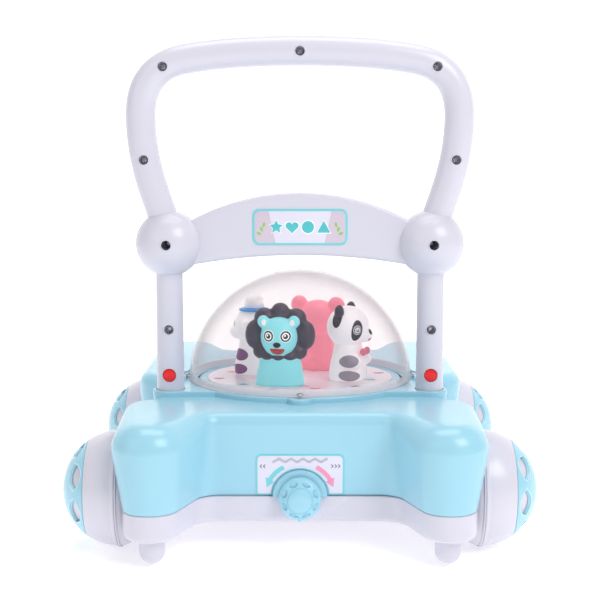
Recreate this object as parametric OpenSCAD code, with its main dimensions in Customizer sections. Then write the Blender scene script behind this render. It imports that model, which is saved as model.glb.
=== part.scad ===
// Push-along baby walker with a lift-off handle, four ball wheels and a domed turntable.
// Origin on the ground under the middle of the body. The child stands on the -Y side.

/* [Body] */
// Half width of the body at the parting line
side_x = 149.5; // [145:0.5:155]
// Half depth of the body between the corner lobes
mid_y = 146; // [140:1:150]
// Distance of a lobe's centre from the side-to-side centre line
lobe_y = 190; // [186:1:194]
// Radius of a corner lobe at the parting line
lobe_r = 24; // [22:1:26]
// Height of the parting line between shell and tray
part_z = 47.5; // [45:0.5:50]
// Height of the tray's flat underside
tray_z = 23.5; // [20:0.5:26]
// Height of the shell's deck
deck_z = 122.5; // [118:0.5:126]
// Height of the raised plateau
plateau_z = 127.5; // [125:0.5:130]
// How far the shell flares outwards from the parting line up
flare = 8.8; // [6:0.1:9]
// Radius of the shell's shoulder
shoulder_r = 11; // [9:0.5:13]
// Height of the raised hood round the far half of the dome
hood_z = 132; // [129:0.5:135]
// Front face of the hood
hood_y = -21; // [-24:0.5:-18]
// Where the near lobes end and the notch in each flank begins
lobe_back = -80; // [-84:1:-78]
// Depth of the notches
notch = 22; // [18:1:24]
// Wall thickness of the mouldings
wall = 2.5; // [2:0.1:3]

/* [Wheels] */
// Radius of the wheels
wheel_r = 52; // [48:0.5:54]
// Distance of each axle from the centre
axle_y = 134; // [130:1:136]
// Distance of a wheel's seam from the centre line
seam_x = 158; // [156:0.5:160]
// Radius of the axles
axle_r = 4; // [3:0.5:4]

/* [Dome] */
// Outer radius of the dome
dome_r = 108.7; // [104:0.1:109]
// Height of the dome's centre
dome_z = 125; // [120:0.5:126]
// Radius of the turntable disc
disc_r = 98; // [94:1:99]
// Radius of the ring on which the figures stand
figure_ring_r = 50; // [46:1:52]

/* [Handle] */
// Distance of the handle's legs from the centre line
leg_x = 120.8; // [120:0.1:122]
// Position of the handle's plane
leg_y = -63; // [-66:1:-60]
// Radius of the legs
leg_r = 12.6; // [12:0.1:12.9]
// Radius of the loop's tube
loop_r = 13.5; // [12:0.5:14]
// Height of the hub balls
hub_z = 263.5; // [255:0.5:270]
// Radius of the hub balls
hub_r = 30.5; // [28:0.5:32]
// How far the legs reach down into their sockets
socket_depth = 55; // [45:1:58]

/* [Knob] */
// Radius of the speed knob
knob_r = 18.6; // [17:0.1:20]
// Radius of the boss behind the knob
boss_r = 23.9; // [22:0.1:25]
// Size of the label over the knob
label_size = [77, 38.4];

/* [Hidden] */

$fn = 64;
aqua = [0.66, 0.87, 0.93];
lavender = [0.84, 0.83, 0.89];
steel = [0.7, 0.7, 0.72];
nylon = [0.93, 0.92, 0.88];
clear = [0.9, 0.95, 1, 0.3];

lobe_x = side_x - lobe_r;
lobe_slant = 19;
waist_r = 22;
waist_x = lobe_x - (sin(lobe_slant) * (lobe_y - mid_y - waist_r) + lobe_r + waist_r) / cos(lobe_slant);
deck_e = shoulder_r - flare;
hood_h = hood_z - deck_z;
hood_ring = [dome_r + 3.3, dome_r + 9.8];
notch_r = 10;
notch_a = acos(1 - notch / (lobe_r + notch_r));
notch_run = (lobe_r + notch_r) * sin(notch_a);
notch_y = [lobe_back - notch_run, hood_y + 1 + notch_run];
rim_z = deck_z - 0.3;
flare_tilt = atan(flare / (deck_z - shoulder_r - part_z));

well_r = wheel_r + 6;
well_x = 136;
wheel_face_x = 140;
axle_z = wheel_r;
axle_end = 184;
cap_x = 186;
ball = wheel_r - 0.8;
cap_r = sqrt(pow(ball, 2) - pow(cap_x - seam_x, 2));
bush_r = 7;
bush_x = 121;
running = 0.05;

leg_bottom = plateau_z - socket_depth;
socket_r = 13.5;
tube_wall = 2.3;
button_z = 142;
button_r = 5.9;

arch_top = [310, 212];
arch_low = [253, 556];
arch_half_t = 9;

tower_z = 58;
spindle_r = 5;
axle_module = 1.4;
table_module = 2;
pinion_teeth = 10;
table_gear_teeth = 60;
axle_gear_r = axle_module * pinion_teeth / 2;
pinion_y = [axle_y - axle_gear_r, table_module * table_gear_teeth / 2];

knob_z = part_z;
boss_y = -mid_y - 6;
sleeve_r = 6;
screw_r = 3;
cavity_y = boss_y + 2.7;
shoe_back = cavity_y + 1;
pad_face = -axle_y - sleeve_r - 1.3;
screw_end = pad_face - 2.8;
shell_screw_xy = [[118, 190], [75, 115], [117, 0], [75, -115]];
// Handle screws on the right half: x, z, length of the post that holds each
side_screws = [[123.8, 423.6, 12], [141.9, 340, 12], [leg_x, hub_z, 29], [leg_x, 184.5, 10.9]];
top_screw = [0, 437.5, 12];

// ---- shared shapes ----

function arc(c, r, a0, a1, n) =
    [for (i = [0:n]) c + r * [cos(a0 + (a1 - a0) * i / n), sin(a0 + (a1 - a0) * i / n)]];

function backwards(v) = [for (i = [len(v) - 1:-1:0]) v[i]];

// A quarter of the body's outline, pulled in by e: waist, then lobe
function quarter(e) = concat(
    arc([waist_x, -mid_y - waist_r], waist_r + e, 90, lobe_slant, 5),
    arc([lobe_x, -lobe_y], lobe_r - e, 180 + lobe_slant, 360, 9));

// One end of a flank's notch: round the lobe centred at position y, then into the notch's floor
function notch_end(e, y) = concat(
    arc([lobe_x, y], lobe_r - e, 0, notch_a, 4),
    arc([lobe_x + (lobe_r + notch_r) * cos(notch_a), y + notch_run], notch_r + e, 180 + notch_a, 180, 2));

function half_outline(e) = concat(quarter(e),
    notch_end(e, notch_y[0]), [[side_x - notch - e, hood_y]],
    [for (p = backwards(notch_end(e, -notch_y[1]))) [p.x, -p.y]],
    [for (p = backwards(quarter(e))) [p.x, -p.y]]);

function outline(e) =
    concat(half_outline(e), [for (p = backwards(half_outline(e))) [-p.x, p.y]]);

// Upright slab of the body's outline, pulled in by e
module prism(e, z0, z1) translate([0, 0, z0]) linear_extrude(z1 - z0) polygon(outline(e));

// The hood lifts the shoulder behind its front face
function hood_lift(z, y) = z > deck_z - shoulder_r - 0.1 && y > hood_y + 0.5 ? hood_h : 0;

// Skin through rings of [height, inset]. Flat faces close its ends, or its last ring joins its first
module loft(rings, loop = false) {
    m = len(outline(0));
    n = len(rings);
    points = [for (r = rings) for (p = outline(r[1])) [p.x, p.y, r[0] + hood_lift(r[0], p.y)]];
    sides = [for (i = [0:n - (loop ? 1 : 2)], j = [0:m - 1]) let (k = (j + 1) % m, up = (i + 1) % n)
        [i * m + j, up * m + j, up * m + k, i * m + k]];
    ends = [[for (j = [0:m - 1]) j], [for (j = [m - 1:-1:0]) (n - 1) * m + j]];
    polyhedron(points, concat(sides, loop ? [] : ends));
}

// Rings of the rounded shoulder, for a skin that lies inset inside the outer one
function shoulder(inset, steps) = [for (i = [0:steps]) let (a = 90 * i / steps)
    [deck_z - shoulder_r + (shoulder_r - inset) * sin(a),
     inset - flare + (shoulder_r - inset) * (1 - cos(a))]];

module both_sides() {
    children();
    mirror([1, 0, 0]) children();
}

module both_ends() {
    children();
    mirror([0, 1, 0]) children();
}

module along_x(x, y, z) translate([x, y, z]) rotate([0, 90, 0]) children();

module along_y(x, y, z) translate([x, y, z]) rotate([-90, 0, 0]) children();

module tube(outer, inner, h) difference() {
    cylinder(r = outer, h = h);
    translate([0, 0, -1]) cylinder(r = inner, h = h + 2);
}

module rounded_rect(w, d, r) {
    square([w - 2 * r, d], center = true);
    square([w, d - 2 * r], center = true);
    for (sx = [-1, 1], sy = [-1, 1])
        translate([sx * (w / 2 - r), sy * (d / 2 - r)]) circle(r);
}

module four_wells(r, x, length)
    both_sides() both_ends() along_x(x, -axle_y, axle_z) cylinder(r = r, h = length);

// Lining of the wheel wells, reaching into the skin of the given rings
module well_lining(rings) intersection() {
    four_wells(well_r + wall, well_x - wall, 30);
    loft([for (r = rings) [r[0], r[1] + wall / 2]]);
}

// ---- body ----

module plateau() translate([0, 0, deck_z - 1]) linear_extrude(plateau_z - deck_z + 1) {
    translate([0, 20]) rounded_rect(264, 196, 8);
    circle(dome_r + 1.8);
    at_lugs() translate([0, dome_r]) circle(11);
    both_sides() translate([leg_x, leg_y]) circle(socket_r + wall + 0.5);
}

// Everything between two positions along Y
module beyond(y0, y1) translate([-200, min(y0, y1), 0]) cube([400, abs(y1 - y0), 200]);

// Raised hood: front wall, top plate and a ring round the dome's far half
module hood() {
    intersection() {
        prism(deck_e + 0.3, hood_z - wall - 0.2, hood_z);
        beyond(hood_y, 400);
    }
    intersection() {
        prism(deck_e + 0.3, deck_z - wall - 0.2, hood_z);
        beyond(hood_y, hood_y + wall);
    }
    intersection() {
        translate([0, 0, deck_z - 1]) tube(hood_ring[1], hood_ring[0] - 3, hood_h + 0.9);
        beyond(hood_y, 400);
    }
}

// Room for the dome and its lugs inside the hood
module dome_room() translate([0, 0, plateau_z]) {
    cylinder(r = hood_ring[0], h = 20);
    at_lugs() translate([0, 6.5 - 12.6 + dome_r, 0]) cylinder(r = 13.4, h = 20);
}

module at_lugs() for (a = [0:90:270]) rotate(a) children();

module leg_socket() translate([leg_x, leg_y, leg_bottom - 4]) difference() {
    cylinder(r = socket_r + wall, h = deck_z - 0.5 - leg_bottom + 4);
    translate([0, 0, wall]) cylinder(r = socket_r, h = plateau_z);
}

module knob_boss(r) along_y(0, boss_y, knob_z) cylinder(r = r, h = 8);

// Room for the brake shoe behind the knob, and the hole that its screw turns in
module brake_room() {
    translate([-9, cavity_y, knob_z - 9.5]) cube([18, 14, 22]);
    along_y(0, boss_y - 1, knob_z) cylinder(r = screw_r + running, h = 8);
}

module at_shell_screws() both_sides() for (p = shell_screw_xy) translate([p.x, p.y, 0]) children();

module upper_shell() color(aqua) difference() {
    union() {
        loft(concat([[deck_z - wall, deck_e + 3]], backwards(shoulder(wall, 4)),
            [[part_z, wall], [part_z, 0]],
            [for (r = shoulder(0, 6)) [min(r[0], rim_z), r[1]]], [[rim_z, deck_e + 3]]), loop = true);
        hood();
        intersection() {
            prism(deck_e + 0.3, deck_z - wall - 0.2, deck_z);
            beyond(hood_y + 1, -400);
        }
        well_lining([[part_z, 0], shoulder(0, 1)[0]]);
        well_lining([shoulder(0, 1)[0], [deck_z - shoulder_r / 3, shoulder_r / 3 - flare]]);
        plateau();
        both_sides() leg_socket();
        both_sides() for (p = shell_screw_xy)
            translate([p.x, p.y, 41]) cylinder(r = 4, h = (p.y > hood_y ? hood_z : deck_z) - 42);
        both_sides() both_ends()
            translate([bush_x + 1, axle_y - 10, axle_z]) cube([well_x - bush_x - 2, 20, 22]);
        intersection() {
            knob_boss(boss_r);
            translate([-boss_r, boss_y, part_z]) cube([2 * boss_r, 8, boss_r]);
        }
    }
    four_wells(well_r, well_x, 40);
    both_sides() both_ends() along_x(bush_x, axle_y, axle_z) cylinder(r = bush_r, h = 20);
    translate([0, 0, deck_z - 8]) cylinder(r = disc_r + 2.5, h = 20);
    dome_room();
    both_sides() translate([leg_x, leg_y, leg_bottom - 1]) cylinder(r = socket_r, h = socket_depth + 4);
    at_shell_screws() translate([0, 0, 40]) cylinder(r = 1.4, h = 16);
    at_lugs() translate([0, dome_r + 3, deck_z]) cylinder(r = 1.2, h = 6);
    brake_room();
}

module lower_tray() color(lavender) difference() {
    union() {
        difference() {
            union() {
                prism(2.5, tray_z, tray_z + 1.5);
                prism(1, tray_z + 1.5, tray_z + 4);
                prism(0, tray_z + 4, part_z);
            }
            prism(wall, tray_z + wall, part_z + 1);
        }
        intersection() {
            four_wells(well_r + wall, well_x - wall, 30);
            prism(wall / 2, tray_z + 1, part_z);
        }
        at_shell_screws() translate([0, 0, tray_z]) cylinder(r = 5, h = 41 - tray_z);
        both_sides() both_ends()
            translate([bush_x + 1, axle_y - 10, tray_z + 1])
                cube([well_x - bush_x - wall - 1, 20, axle_z - tray_z - 1]);
        translate([0, 0, tray_z]) cylinder(r = 14, h = 10);
        intersection() {
            knob_boss(knob_r - 0.4);
            translate([-knob_r, boss_y, tray_z]) cube([2 * knob_r, 8, part_z - tray_z]);
        }
    }
    four_wells(well_r, well_x, 40);
    both_sides() both_ends() along_x(bush_x, axle_y, axle_z) cylinder(r = bush_r, h = 20);
    at_shell_screws() {
        translate([0, 0, tray_z - 1]) cylinder(r = 3.6, h = 5);
        cylinder(r = 1.7, h = 50);
    }
    both_sides() translate([lobe_x - 1, 5 - lobe_y - 10, tray_z - 1]) cylinder(r = 3.5, h = 6);
    translate([0, 0, tray_z + wall]) cylinder(r = 9, h = 12);
    brake_room();
}

module shell_screws() color(steel) at_shell_screws() {
    translate([0, 0, tray_z + 1.6]) cylinder(r = 3, h = 2.4);
    translate([0, 0, tray_z + 4]) cylinder(r = 1.4, h = 28);
}

// Stub foot under a rear lobe, pegged into the tray
module foot() color(lavender) translate([lobe_x - 1, -lobe_y - 5, 0]) {
    translate([0, 0, 13.5]) {
        cylinder(r = 11, h = tray_z - 13.5);
        sphere(r = 11);
    }
    translate([0, 0, tray_z - 1]) cylinder(r = 3.5, h = 5);
}

module left_foot() mirror([1, 0, 0]) foot();

module right_foot() foot();

module speed_label() color("white")
    translate([0, -mid_y, part_z]) rotate([90 + flare_tilt, 0, 0]) difference() {
        translate([0, label_size.y / 2 + 0.2, 0]) linear_extrude(0.6)
            rounded_rect(label_size.x, label_size.y, 4);
        translate([0, 0, -1]) cylinder(r = boss_r + 0.8, h = 3);
    }

module dome() color(clear) difference() {
    union() {
        intersection() {
            translate([0, 0, dome_z]) sphere(r = dome_r, $fn = 128);
            translate([-dome_r, -dome_r, plateau_z]) cube([2 * dome_r, 2 * dome_r, dome_r]);
        }
        at_lugs() translate([0, 6.5 - 12.6 + dome_r, plateau_z]) cylinder(r = 12.6, h = 2.8);
    }
    translate([0, 0, dome_z]) sphere(r = dome_r - 2, $fn = 128);
    at_lugs() translate([0, dome_r + 3, plateau_z - 1]) cylinder(r = 1.7, h = 6);
}

module dome_screws() color(steel) at_lugs() translate([0, dome_r + 3, 0]) {
    translate([0, 0, deck_z + 0.5]) cylinder(r = 1.2, h = plateau_z + 2.8 - deck_z);
    translate([0, 0, plateau_z + 2.8]) cylinder(r = 2.6, h = 1.6);
}

// ---- wheels ----

// Bush with its bore, from the inside of the well to the face of the wheel well
module bush() color(nylon) along_x(bush_x, 0, axle_z) tube(bush_r, axle_r + running, well_x - bush_x);

module rear_axle_bushes() both_sides() translate([0, -axle_y, 0]) bush();

module front_axle_bushes() both_sides() translate([0, axle_y, 0]) bush();

module axle(y) color(steel) along_x(-axle_end, y, axle_z) cylinder(r = axle_r, h = 2 * axle_end);

module washers(y) color(steel) both_sides()
    along_x(well_x + 0.5, y, axle_z) tube(9, axle_r, wheel_face_x - well_x - 0.5);

module rear_axle() axle(-axle_y);

module front_axle() axle(axle_y);

module rear_washers() washers(-axle_y);

module front_washers() washers(axle_y);

// Radius of the wheel's ball at a distance x from the centre line
function ball_r(x, inset) = sqrt(max(0, pow(ball - inset, 2) - pow(x - seam_x, 2)));

// Half profile points [radius, x] of the ball between two stations
function ball_profile(x0, x1, inset, n) =
    [for (i = [0:n]) let (x = x0 + (x1 - x0) * i / n) [ball_r(x, inset), x]];

module turned(y) along_x(0, y, axle_z) children();

module wheel_inner(y) color(lavender) turned(y) {
    rotate_extrude($fn = 96) difference() {
        polygon(concat([[axle_r, wheel_face_x], [34, wheel_face_x]],
            arc([34, seam_x], ball - 34, -75, 0, 6), [[axle_r, seam_x]]));
        polygon(concat([[11, wheel_face_x + wall], [33, wheel_face_x + wall]],
            arc([34, seam_x], ball - 34 - wall, -75, 0, 6), [[48, seam_x + 1], [11, seam_x + 1]]));
    }
    translate([0, 0, seam_x - 2]) tube(wheel_r, ball - 1.5, 2);
}

module wheel_outer(y) color(lavender) turned(y) {
    rotate_extrude($fn = 96) polygon(concat(
        ball_profile(seam_x, cap_x, 0, 10), [[cap_r - wall, cap_x]],
        [[cap_r - wall - 1, cap_x - 4], [14, cap_x - 8], [14, axle_end], [axle_r, axle_end],
         [axle_r, seam_x + 2], [10, seam_x + 2], [10, cap_x - 12]],
        [for (p = backwards(ball_profile(seam_x, cap_x - 9, wall, 8))) p]));
}

// Domed cap with seven lens-shaped windows around its nose
module hub_cap(y, phase) color(aqua) turned(y) difference() {
    intersection() {
        translate([0, 0, seam_x]) sphere(r = ball, $fn = 96);
        translate([0, 0, cap_x]) cylinder(r = ball, h = ball);
    }
    translate([0, 0, seam_x]) sphere(r = ball - wall, $fn = 96);
    for (k = [0:6]) rotate(phase + 360 / 7 * k) translate([35, 0, cap_x - 1]) intersection() {
        translate([8.3, 0, 0]) cylinder(r = 13.3, h = 30);
        translate([-8.3, 0, 0]) cylinder(r = 13.3, h = 30);
    }
}

module rear_left_wheel_inner() mirror([1, 0, 0]) wheel_inner(-axle_y);
module rear_left_wheel_outer() mirror([1, 0, 0]) wheel_outer(-axle_y);
module rear_left_hub_cap() mirror([1, 0, 0]) hub_cap(-axle_y, -119);
module rear_right_wheel_inner() wheel_inner(-axle_y);
module rear_right_wheel_outer() wheel_outer(-axle_y);
module rear_right_hub_cap() hub_cap(-axle_y, -133);
module front_left_wheel_inner() mirror([1, 0, 0]) wheel_inner(axle_y);
module front_left_wheel_outer() mirror([1, 0, 0]) wheel_outer(axle_y);
module front_left_hub_cap() mirror([1, 0, 0]) hub_cap(axle_y, -66);
module front_right_wheel_inner() wheel_inner(axle_y);
module front_right_wheel_outer() wheel_outer(axle_y);
module front_right_hub_cap() hub_cap(axle_y, -60);

// ---- drive from the front axle to the turntable ----

// One tooth's outline, thick at the root, with its pitch line at height 0
module tooth(m) polygon(m * [[-0.98, -1.4], [0.98, -1.4], [0.3, 0.64], [-0.3, 0.64]]);

module pinion(m, y, width) color(nylon) along_y(0, y - width / 2, axle_z) difference() {
    linear_extrude(width) {
        circle(m * (pinion_teeth / 2 - 1.1));
        for (k = [0:pinion_teeth - 1]) rotate(360 * k / pinion_teeth)
            translate([0, m * pinion_teeth / 2]) tooth(m);
    }
    translate([0, 0, -1]) cylinder(r = screw_r, h = width + 2);
}

// Face gear about +Z, its teeth pointing to -Z with their pitch line at height 0
module face_gear(m, teeth, bore, width, thick) {
    pitch_r = m * teeth / 2;
    difference() {
        union() {
            translate([0, 0, 1.1 * m]) cylinder(r = pitch_r + width / 2, h = thick);
            for (k = [0:teeth - 1]) rotate(360 * (k + 0.5) / teeth)
                translate([0, pitch_r + width / 2, 0]) rotate([90, 0, 0])
                    linear_extrude(width) mirror([0, 1]) tooth(m);
        }
        translate([0, 0, -10]) cylinder(r = bore, h = 40);
    }
}

module axle_face_gear() color(nylon) along_x(axle_gear_r, axle_y, axle_z)
    face_gear(axle_module, pinion_teeth, axle_r, 3.6, 4);

module axle_pinion() rotate_pinion(axle_module, pinion_y[0], 3.6, 90);

module table_pinion() rotate_pinion(table_module, pinion_y[1], 8, 0);

// Pinion on the drive shaft, turned about the shaft so that a tooth meets its gear
module rotate_pinion(m, y, width, turn)
    translate([0, 0, axle_z]) rotate([0, turn, 0]) translate([0, 0, -axle_z]) pinion(m, y, width);

module drive_shaft() color(steel)
    along_y(0, pinion_y[1] - 6, axle_z) cylinder(r = screw_r, h = pinion_y[0] - pinion_y[1] + 8);

module drive_shaft_bearings() color(nylon) for (y = [76, 98]) difference() {
    translate([-8, y, tray_z + wall]) cube([16, 7, axle_z + 8 - tray_z - wall]);
    along_y(0, y - 1, axle_z) cylinder(r = screw_r + running, h = 9);
}

module spindle_tower() color(nylon) difference() {
    union() {
        translate([0, 0, tray_z + wall]) cylinder(r = 9, h = tower_z - tray_z - wall);
        translate([0, 0, tray_z + 10]) cylinder(r = 14, h = 4);
    }
    translate([0, 0, tray_z + 6]) cylinder(r = spindle_r + running, h = 60);
}

// ---- turntable ----

module turntable_spindle() color(steel)
    translate([0, 0, tray_z + 7]) cylinder(r = spindle_r, h = 124.5 - tray_z - 7);

module turntable_face_gear() color(nylon)
    translate([0, 0, axle_z + table_module * pinion_teeth / 2]) {
        face_gear(table_module, table_gear_teeth, spindle_r, 8, 4);
        translate([0, 0, 2]) tube(10, spindle_r, 14);
    }

module turntable_disc() color(aqua) {
    translate([0, 0, 125.5]) cylinder(r = disc_r, h = 3, $fn = 128);
    translate([0, 0, 119]) tube(disc_r - 2, disc_r - 4.5, 7);
    translate([0, 0, 110]) tube(9, spindle_r, 16);
}

table_z = 128.5;
sheet_t = 0.5;

module turntable_sheet() color("mistyrose") translate([0, 0, table_z]) cylinder(r = 90, h = sheet_t);

// Puts a figure that looks along -Y on the turntable so that it looks outwards
module on_table(a) rotate(a + 90) translate([0, -figure_ring_r, table_z + sheet_t]) children();

// Standing body and round head, both grown or shrunk by e
module figure_form(base_r, top_r, body_h, head_r, head_z, e) {
    translate([0, 0, -e]) cylinder(r1 = base_r + e, r2 = top_r + e, h = body_h + 2 * e);
    translate([0, 0, head_z]) sphere(r = head_r + e);
}

module pair_of_balls(x, y, z, r) for (s = [-1, 1]) translate([s * x, y, z]) sphere(r = r);

module hollow_figure(base_r, top_r, body_h, head_r, head_z) difference() {
    union() {
        figure_form(base_r, top_r, body_h, head_r, head_z, 0);
        children();
    }
    difference() {
        figure_form(base_r, top_r, body_h, head_r, head_z, -2);
        translate([-30, -30, -1]) cube([60, 60, 3]);
    }
}

module lion_figure() color("teal") on_table(-112) hollow_figure(19, 13, 40, 18, 54) {
    pair_of_balls(18, 4, 50, 10);
    pair_of_balls(12, 3, 67, 8);
    translate([0, 3, 72]) sphere(r = 7);
}

module panda_figure() color("white") on_table(-22) hollow_figure(18, 14, 40, 19, 54) {
    pair_of_balls(13, 0, 70, 6.5);
    pair_of_balls(13, -8, 28, 7);
}

module pig_figure() color("pink") on_table(68) hollow_figure(18, 14, 40, 19, 54) {
    pair_of_balls(12, 0, 69, 7);
    translate([0, -18, 52]) sphere(r = 6);
}

module hippo_figure() color("white") on_table(158) hollow_figure(18, 14, 40, 18, 52) {
    translate([0, 0, 66]) cylinder(r = 15, h = 4);
    translate([0, 0, 70]) sphere(r = 9);
    translate([0, -12, 46]) sphere(r = 11);
}

// ---- handle ----

function bezier(p, t) = pow(1 - t, 3) * p[0] + 3 * t * pow(1 - t, 2) * p[1]
    + 3 * t * t * (1 - t) * p[2] + pow(t, 3) * p[3];

// Right half of the loop's centre line as [x, z]: side, corner, top bar
loop_curves = [
    [[leg_x, hub_z + 8], [127, 297], [145.5, 330], [145.5, 380]],
    [[145.5, 380], [145.5, 410], [131, 426], [105, 431]],
    [[105, 431], [75, 436.5], [38, 438.5], [0, 438.5]]];
curve_steps = 6;
right_half = concat([loop_curves[0][0]],
    [for (c = loop_curves) for (i = [1:curve_steps]) bezier(c, i / curve_steps)]);
loop_path = concat(right_half, [for (i = [len(right_half) - 2:-1:0]) [-right_half[i].x, right_half[i].y]]);

function unit(v) = v / norm(v);

// Direction of the path at point i
function heading(i) = unit(loop_path[min(i + 1, len(loop_path) - 1)] - loop_path[max(i - 1, 0)]);

// Half ring of the tube at point i: outer arc, then inner arc back; side is -1 rear, 1 front
function half_ring(i, side) =
    let (h = heading(i), n = [h.y, -h.x], p = loop_path[i],
         c = concat(arc([0, 0], loop_r, 0, 180, 9), arc([0, 0], loop_r - tube_wall, 180, 0, 9)))
    [for (q = c) [p.x + n.x * q.x, leg_y + side * q.y, p.y + n.y * q.x]];

module loop_half(side) {
    rings = [for (i = [0:len(loop_path) - 1]) half_ring(i, side)];
    m = len(rings[0]);
    last = len(rings) - 1;
    faces = concat(
        [[for (j = [0:m - 1]) j]],
        [for (i = [0:last - 1]) for (j = [0:m - 1]) let (k = (j + 1) % m)
            [i * m + j, (i + 1) * m + j, (i + 1) * m + k, i * m + k]],
        [[for (j = [m - 1:-1:0]) last * m + j]]);
    polyhedron([for (r = rings) for (p = r) p],
        side > 0 ? faces : [for (f = faces) backwards(f)]);
}

// Everything on one side of the handle's plane
module half_space(side) translate([-200, side < 0 ? leg_y - 50 : leg_y, 0]) cube([400, 50, 500]);

module arch_outline(e) difference() {
    intersection() {
        translate([0, arch_top[0] - arch_top[1]]) circle(arch_top[1] - e, $fn = 180);
        translate([-leg_x, 200]) square([2 * leg_x, 150]);
    }
    translate([0, arch_low[0] - arch_low[1]]) circle(arch_low[1] + e, $fn = 360);
}

module arch_slab(e, y0, y1) translate([0, y1, 0]) rotate([90, 0, 0])
    linear_extrude(y1 - y0) arch_outline(e);

// Posts of radius r, one per handle screw, on one side of the handle's plane
module screw_posts(r, side) {
    for (p = concat([top_screw], side_screws, [for (p = side_screws) [-p.x, p.y, p.z]]))
        translate([p.x, leg_y, p.y]) rotate([-90 * side, 0, 0]) cylinder(r = r, h = p.z);
}

module at_screws() {
    translate([0, leg_y, top_screw.y]) children();
    both_sides() for (p = side_screws) translate([p.x, leg_y, p.y]) children();
}

// Legs, hub balls and arch panel, solid, shrunk by e
module handle_core(e) {
    both_sides() {
        translate([leg_x, leg_y, leg_bottom + e]) cylinder(r = leg_r - e, h = hub_z - leg_bottom - 2 * e);
        translate([leg_x, leg_y, hub_z]) sphere(r = hub_r - e);
    }
    arch_slab(e, leg_y - arch_half_t + e, leg_y + arch_half_t - e);
}

module handle_half(side) {
    loop_half(side);
    intersection() {
        difference() {
            handle_core(0);
            handle_core(tube_wall);
        }
        half_space(side);
    }
}

module handle_rear_shell() color(lavender) difference() {
    union() {
        handle_half(-1);
        screw_posts(6, -1);
    }
    at_screws() rotate([90, 0, 0]) {
        translate([0, 0, 4]) cylinder(r = 4.75, h = 40);
        translate([0, 0, -1]) cylinder(r = 1.7, h = 10);
    }
    both_sides() along_y(leg_x, leg_y - 20, button_z) cylinder(r = button_r + 0.3, h = 14);
}

module handle_front_shell() color(lavender) difference() {
    union() {
        handle_half(1);
        screw_posts(3.6, 1);
    }
    at_screws() rotate([-90, 0, 0]) translate([0, 0, -1]) cylinder(r = 1.4, h = 9);
}

module handle_screws() color(steel) at_screws() {
    translate([0, -4, 0]) rotate([90, 0, 0]) cylinder(r = 3.4, h = 2.4);
    translate([0, -4, 0]) rotate([-90, 0, 0]) cylinder(r = 1.4, h = 11);
}

module handle_plate() color("white")
    translate([0, leg_y - arch_half_t, 279]) rotate([90, 0, 0]) linear_extrude(1.2) rounded_rect(87, 33, 6);

// ---- release buttons ----

// Cap in the leg's wall, flange behind it and a stem that carries the spring
module release_button() color("red") {
    along_y(leg_x, leg_y - leg_r + 0.4, button_z) cylinder(r = button_r, h = 6.2);
    along_y(leg_x, leg_y - 6.2, button_z) cylinder(r = 7.4, h = 1.5);
    along_y(leg_x, leg_y - 5, button_z) cylinder(r = 2, h = 9);
}

module left_release_button() mirror([1, 0, 0]) release_button();

module right_release_button() release_button();

spring_turns = 5;
spring_r = 4;
wire_r = 0.5;
spring_y = [leg_y - 4.1, leg_y + leg_r - tube_wall - 1.7];

// Point on the coil at turn t, and the ring of the wire around it
function coil_ring(t) =
    let (a = 360 * t, y = spring_y[0] + (spring_y[1] - spring_y[0]) * t / spring_turns)
    [for (b = [0:60:300]) let (r = spring_r + wire_r * cos(b))
        [leg_x + r * cos(a), y + wire_r * sin(b), button_z + r * sin(a)]];

module button_spring() color(steel) {
    steps = spring_turns * 12;
    points = [for (i = [0:steps]) for (p = coil_ring(i / 12)) p];
    polyhedron(points, concat(
        [[for (j = [5:-1:0]) j]],
        [for (i = [0:steps - 1]) for (j = [0:5]) let (k = (j + 1) % 6)
            [i * 6 + j, i * 6 + k, (i + 1) * 6 + k, (i + 1) * 6 + j]],
        [[for (j = [0:5]) steps * 6 + j]]));
}

module left_button_spring() mirror([1, 0, 0]) button_spring();

module right_button_spring() button_spring();

// ---- speed control ----

module speed_knob() color(aqua) along_y(0, 0, knob_z) difference() {
    union() {
        rotate_extrude() polygon([[0, boss_y - 0.5], [knob_r, boss_y - 0.5], [knob_r, boss_y - 7.5],
            [0.88 * knob_r, boss_y - 10], [0.62 * knob_r, boss_y - 12.5], [0.56 * knob_r, boss_y - 12.5],
            [0.53 * knob_r, boss_y - 14.5], [0.33 * knob_r, boss_y - 16], [0, boss_y - 16.5]]);
        translate([-2, 9, boss_y - 9]) cube([4, knob_r - 7, 5]);
    }
    for (k = [0:7]) rotate(22.5 + 45 * k) translate([0.81 * knob_r, 0, boss_y - 14])
        cylinder(r = 0.125 * knob_r, h = 5);
    translate([0, 0, boss_y - 6]) cylinder(r = screw_r, h = 10);
}

module knob_screw() color(steel)
    along_y(0, boss_y - 6, knob_z) cylinder(r = screw_r, h = screw_end - boss_y + 6);

module brake_shoe() color(nylon) difference() {
    translate([-8.7, shoe_back, knob_z - 9.2]) cube([17.4, pad_face - 1.5 - shoe_back, 21.4]);
    along_y(0, shoe_back - 1, knob_z) cylinder(r = screw_r + running, h = pad_face - shoe_back);
}

module brake_pad() color("dimgray")
    translate([-7, pad_face - 1.5, axle_z - 6]) cube([14, 1.5, 12]);

module brake_sleeve() color(steel) along_x(-8, -axle_y, axle_z) tube(sleeve_r, axle_r, 16);

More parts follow.
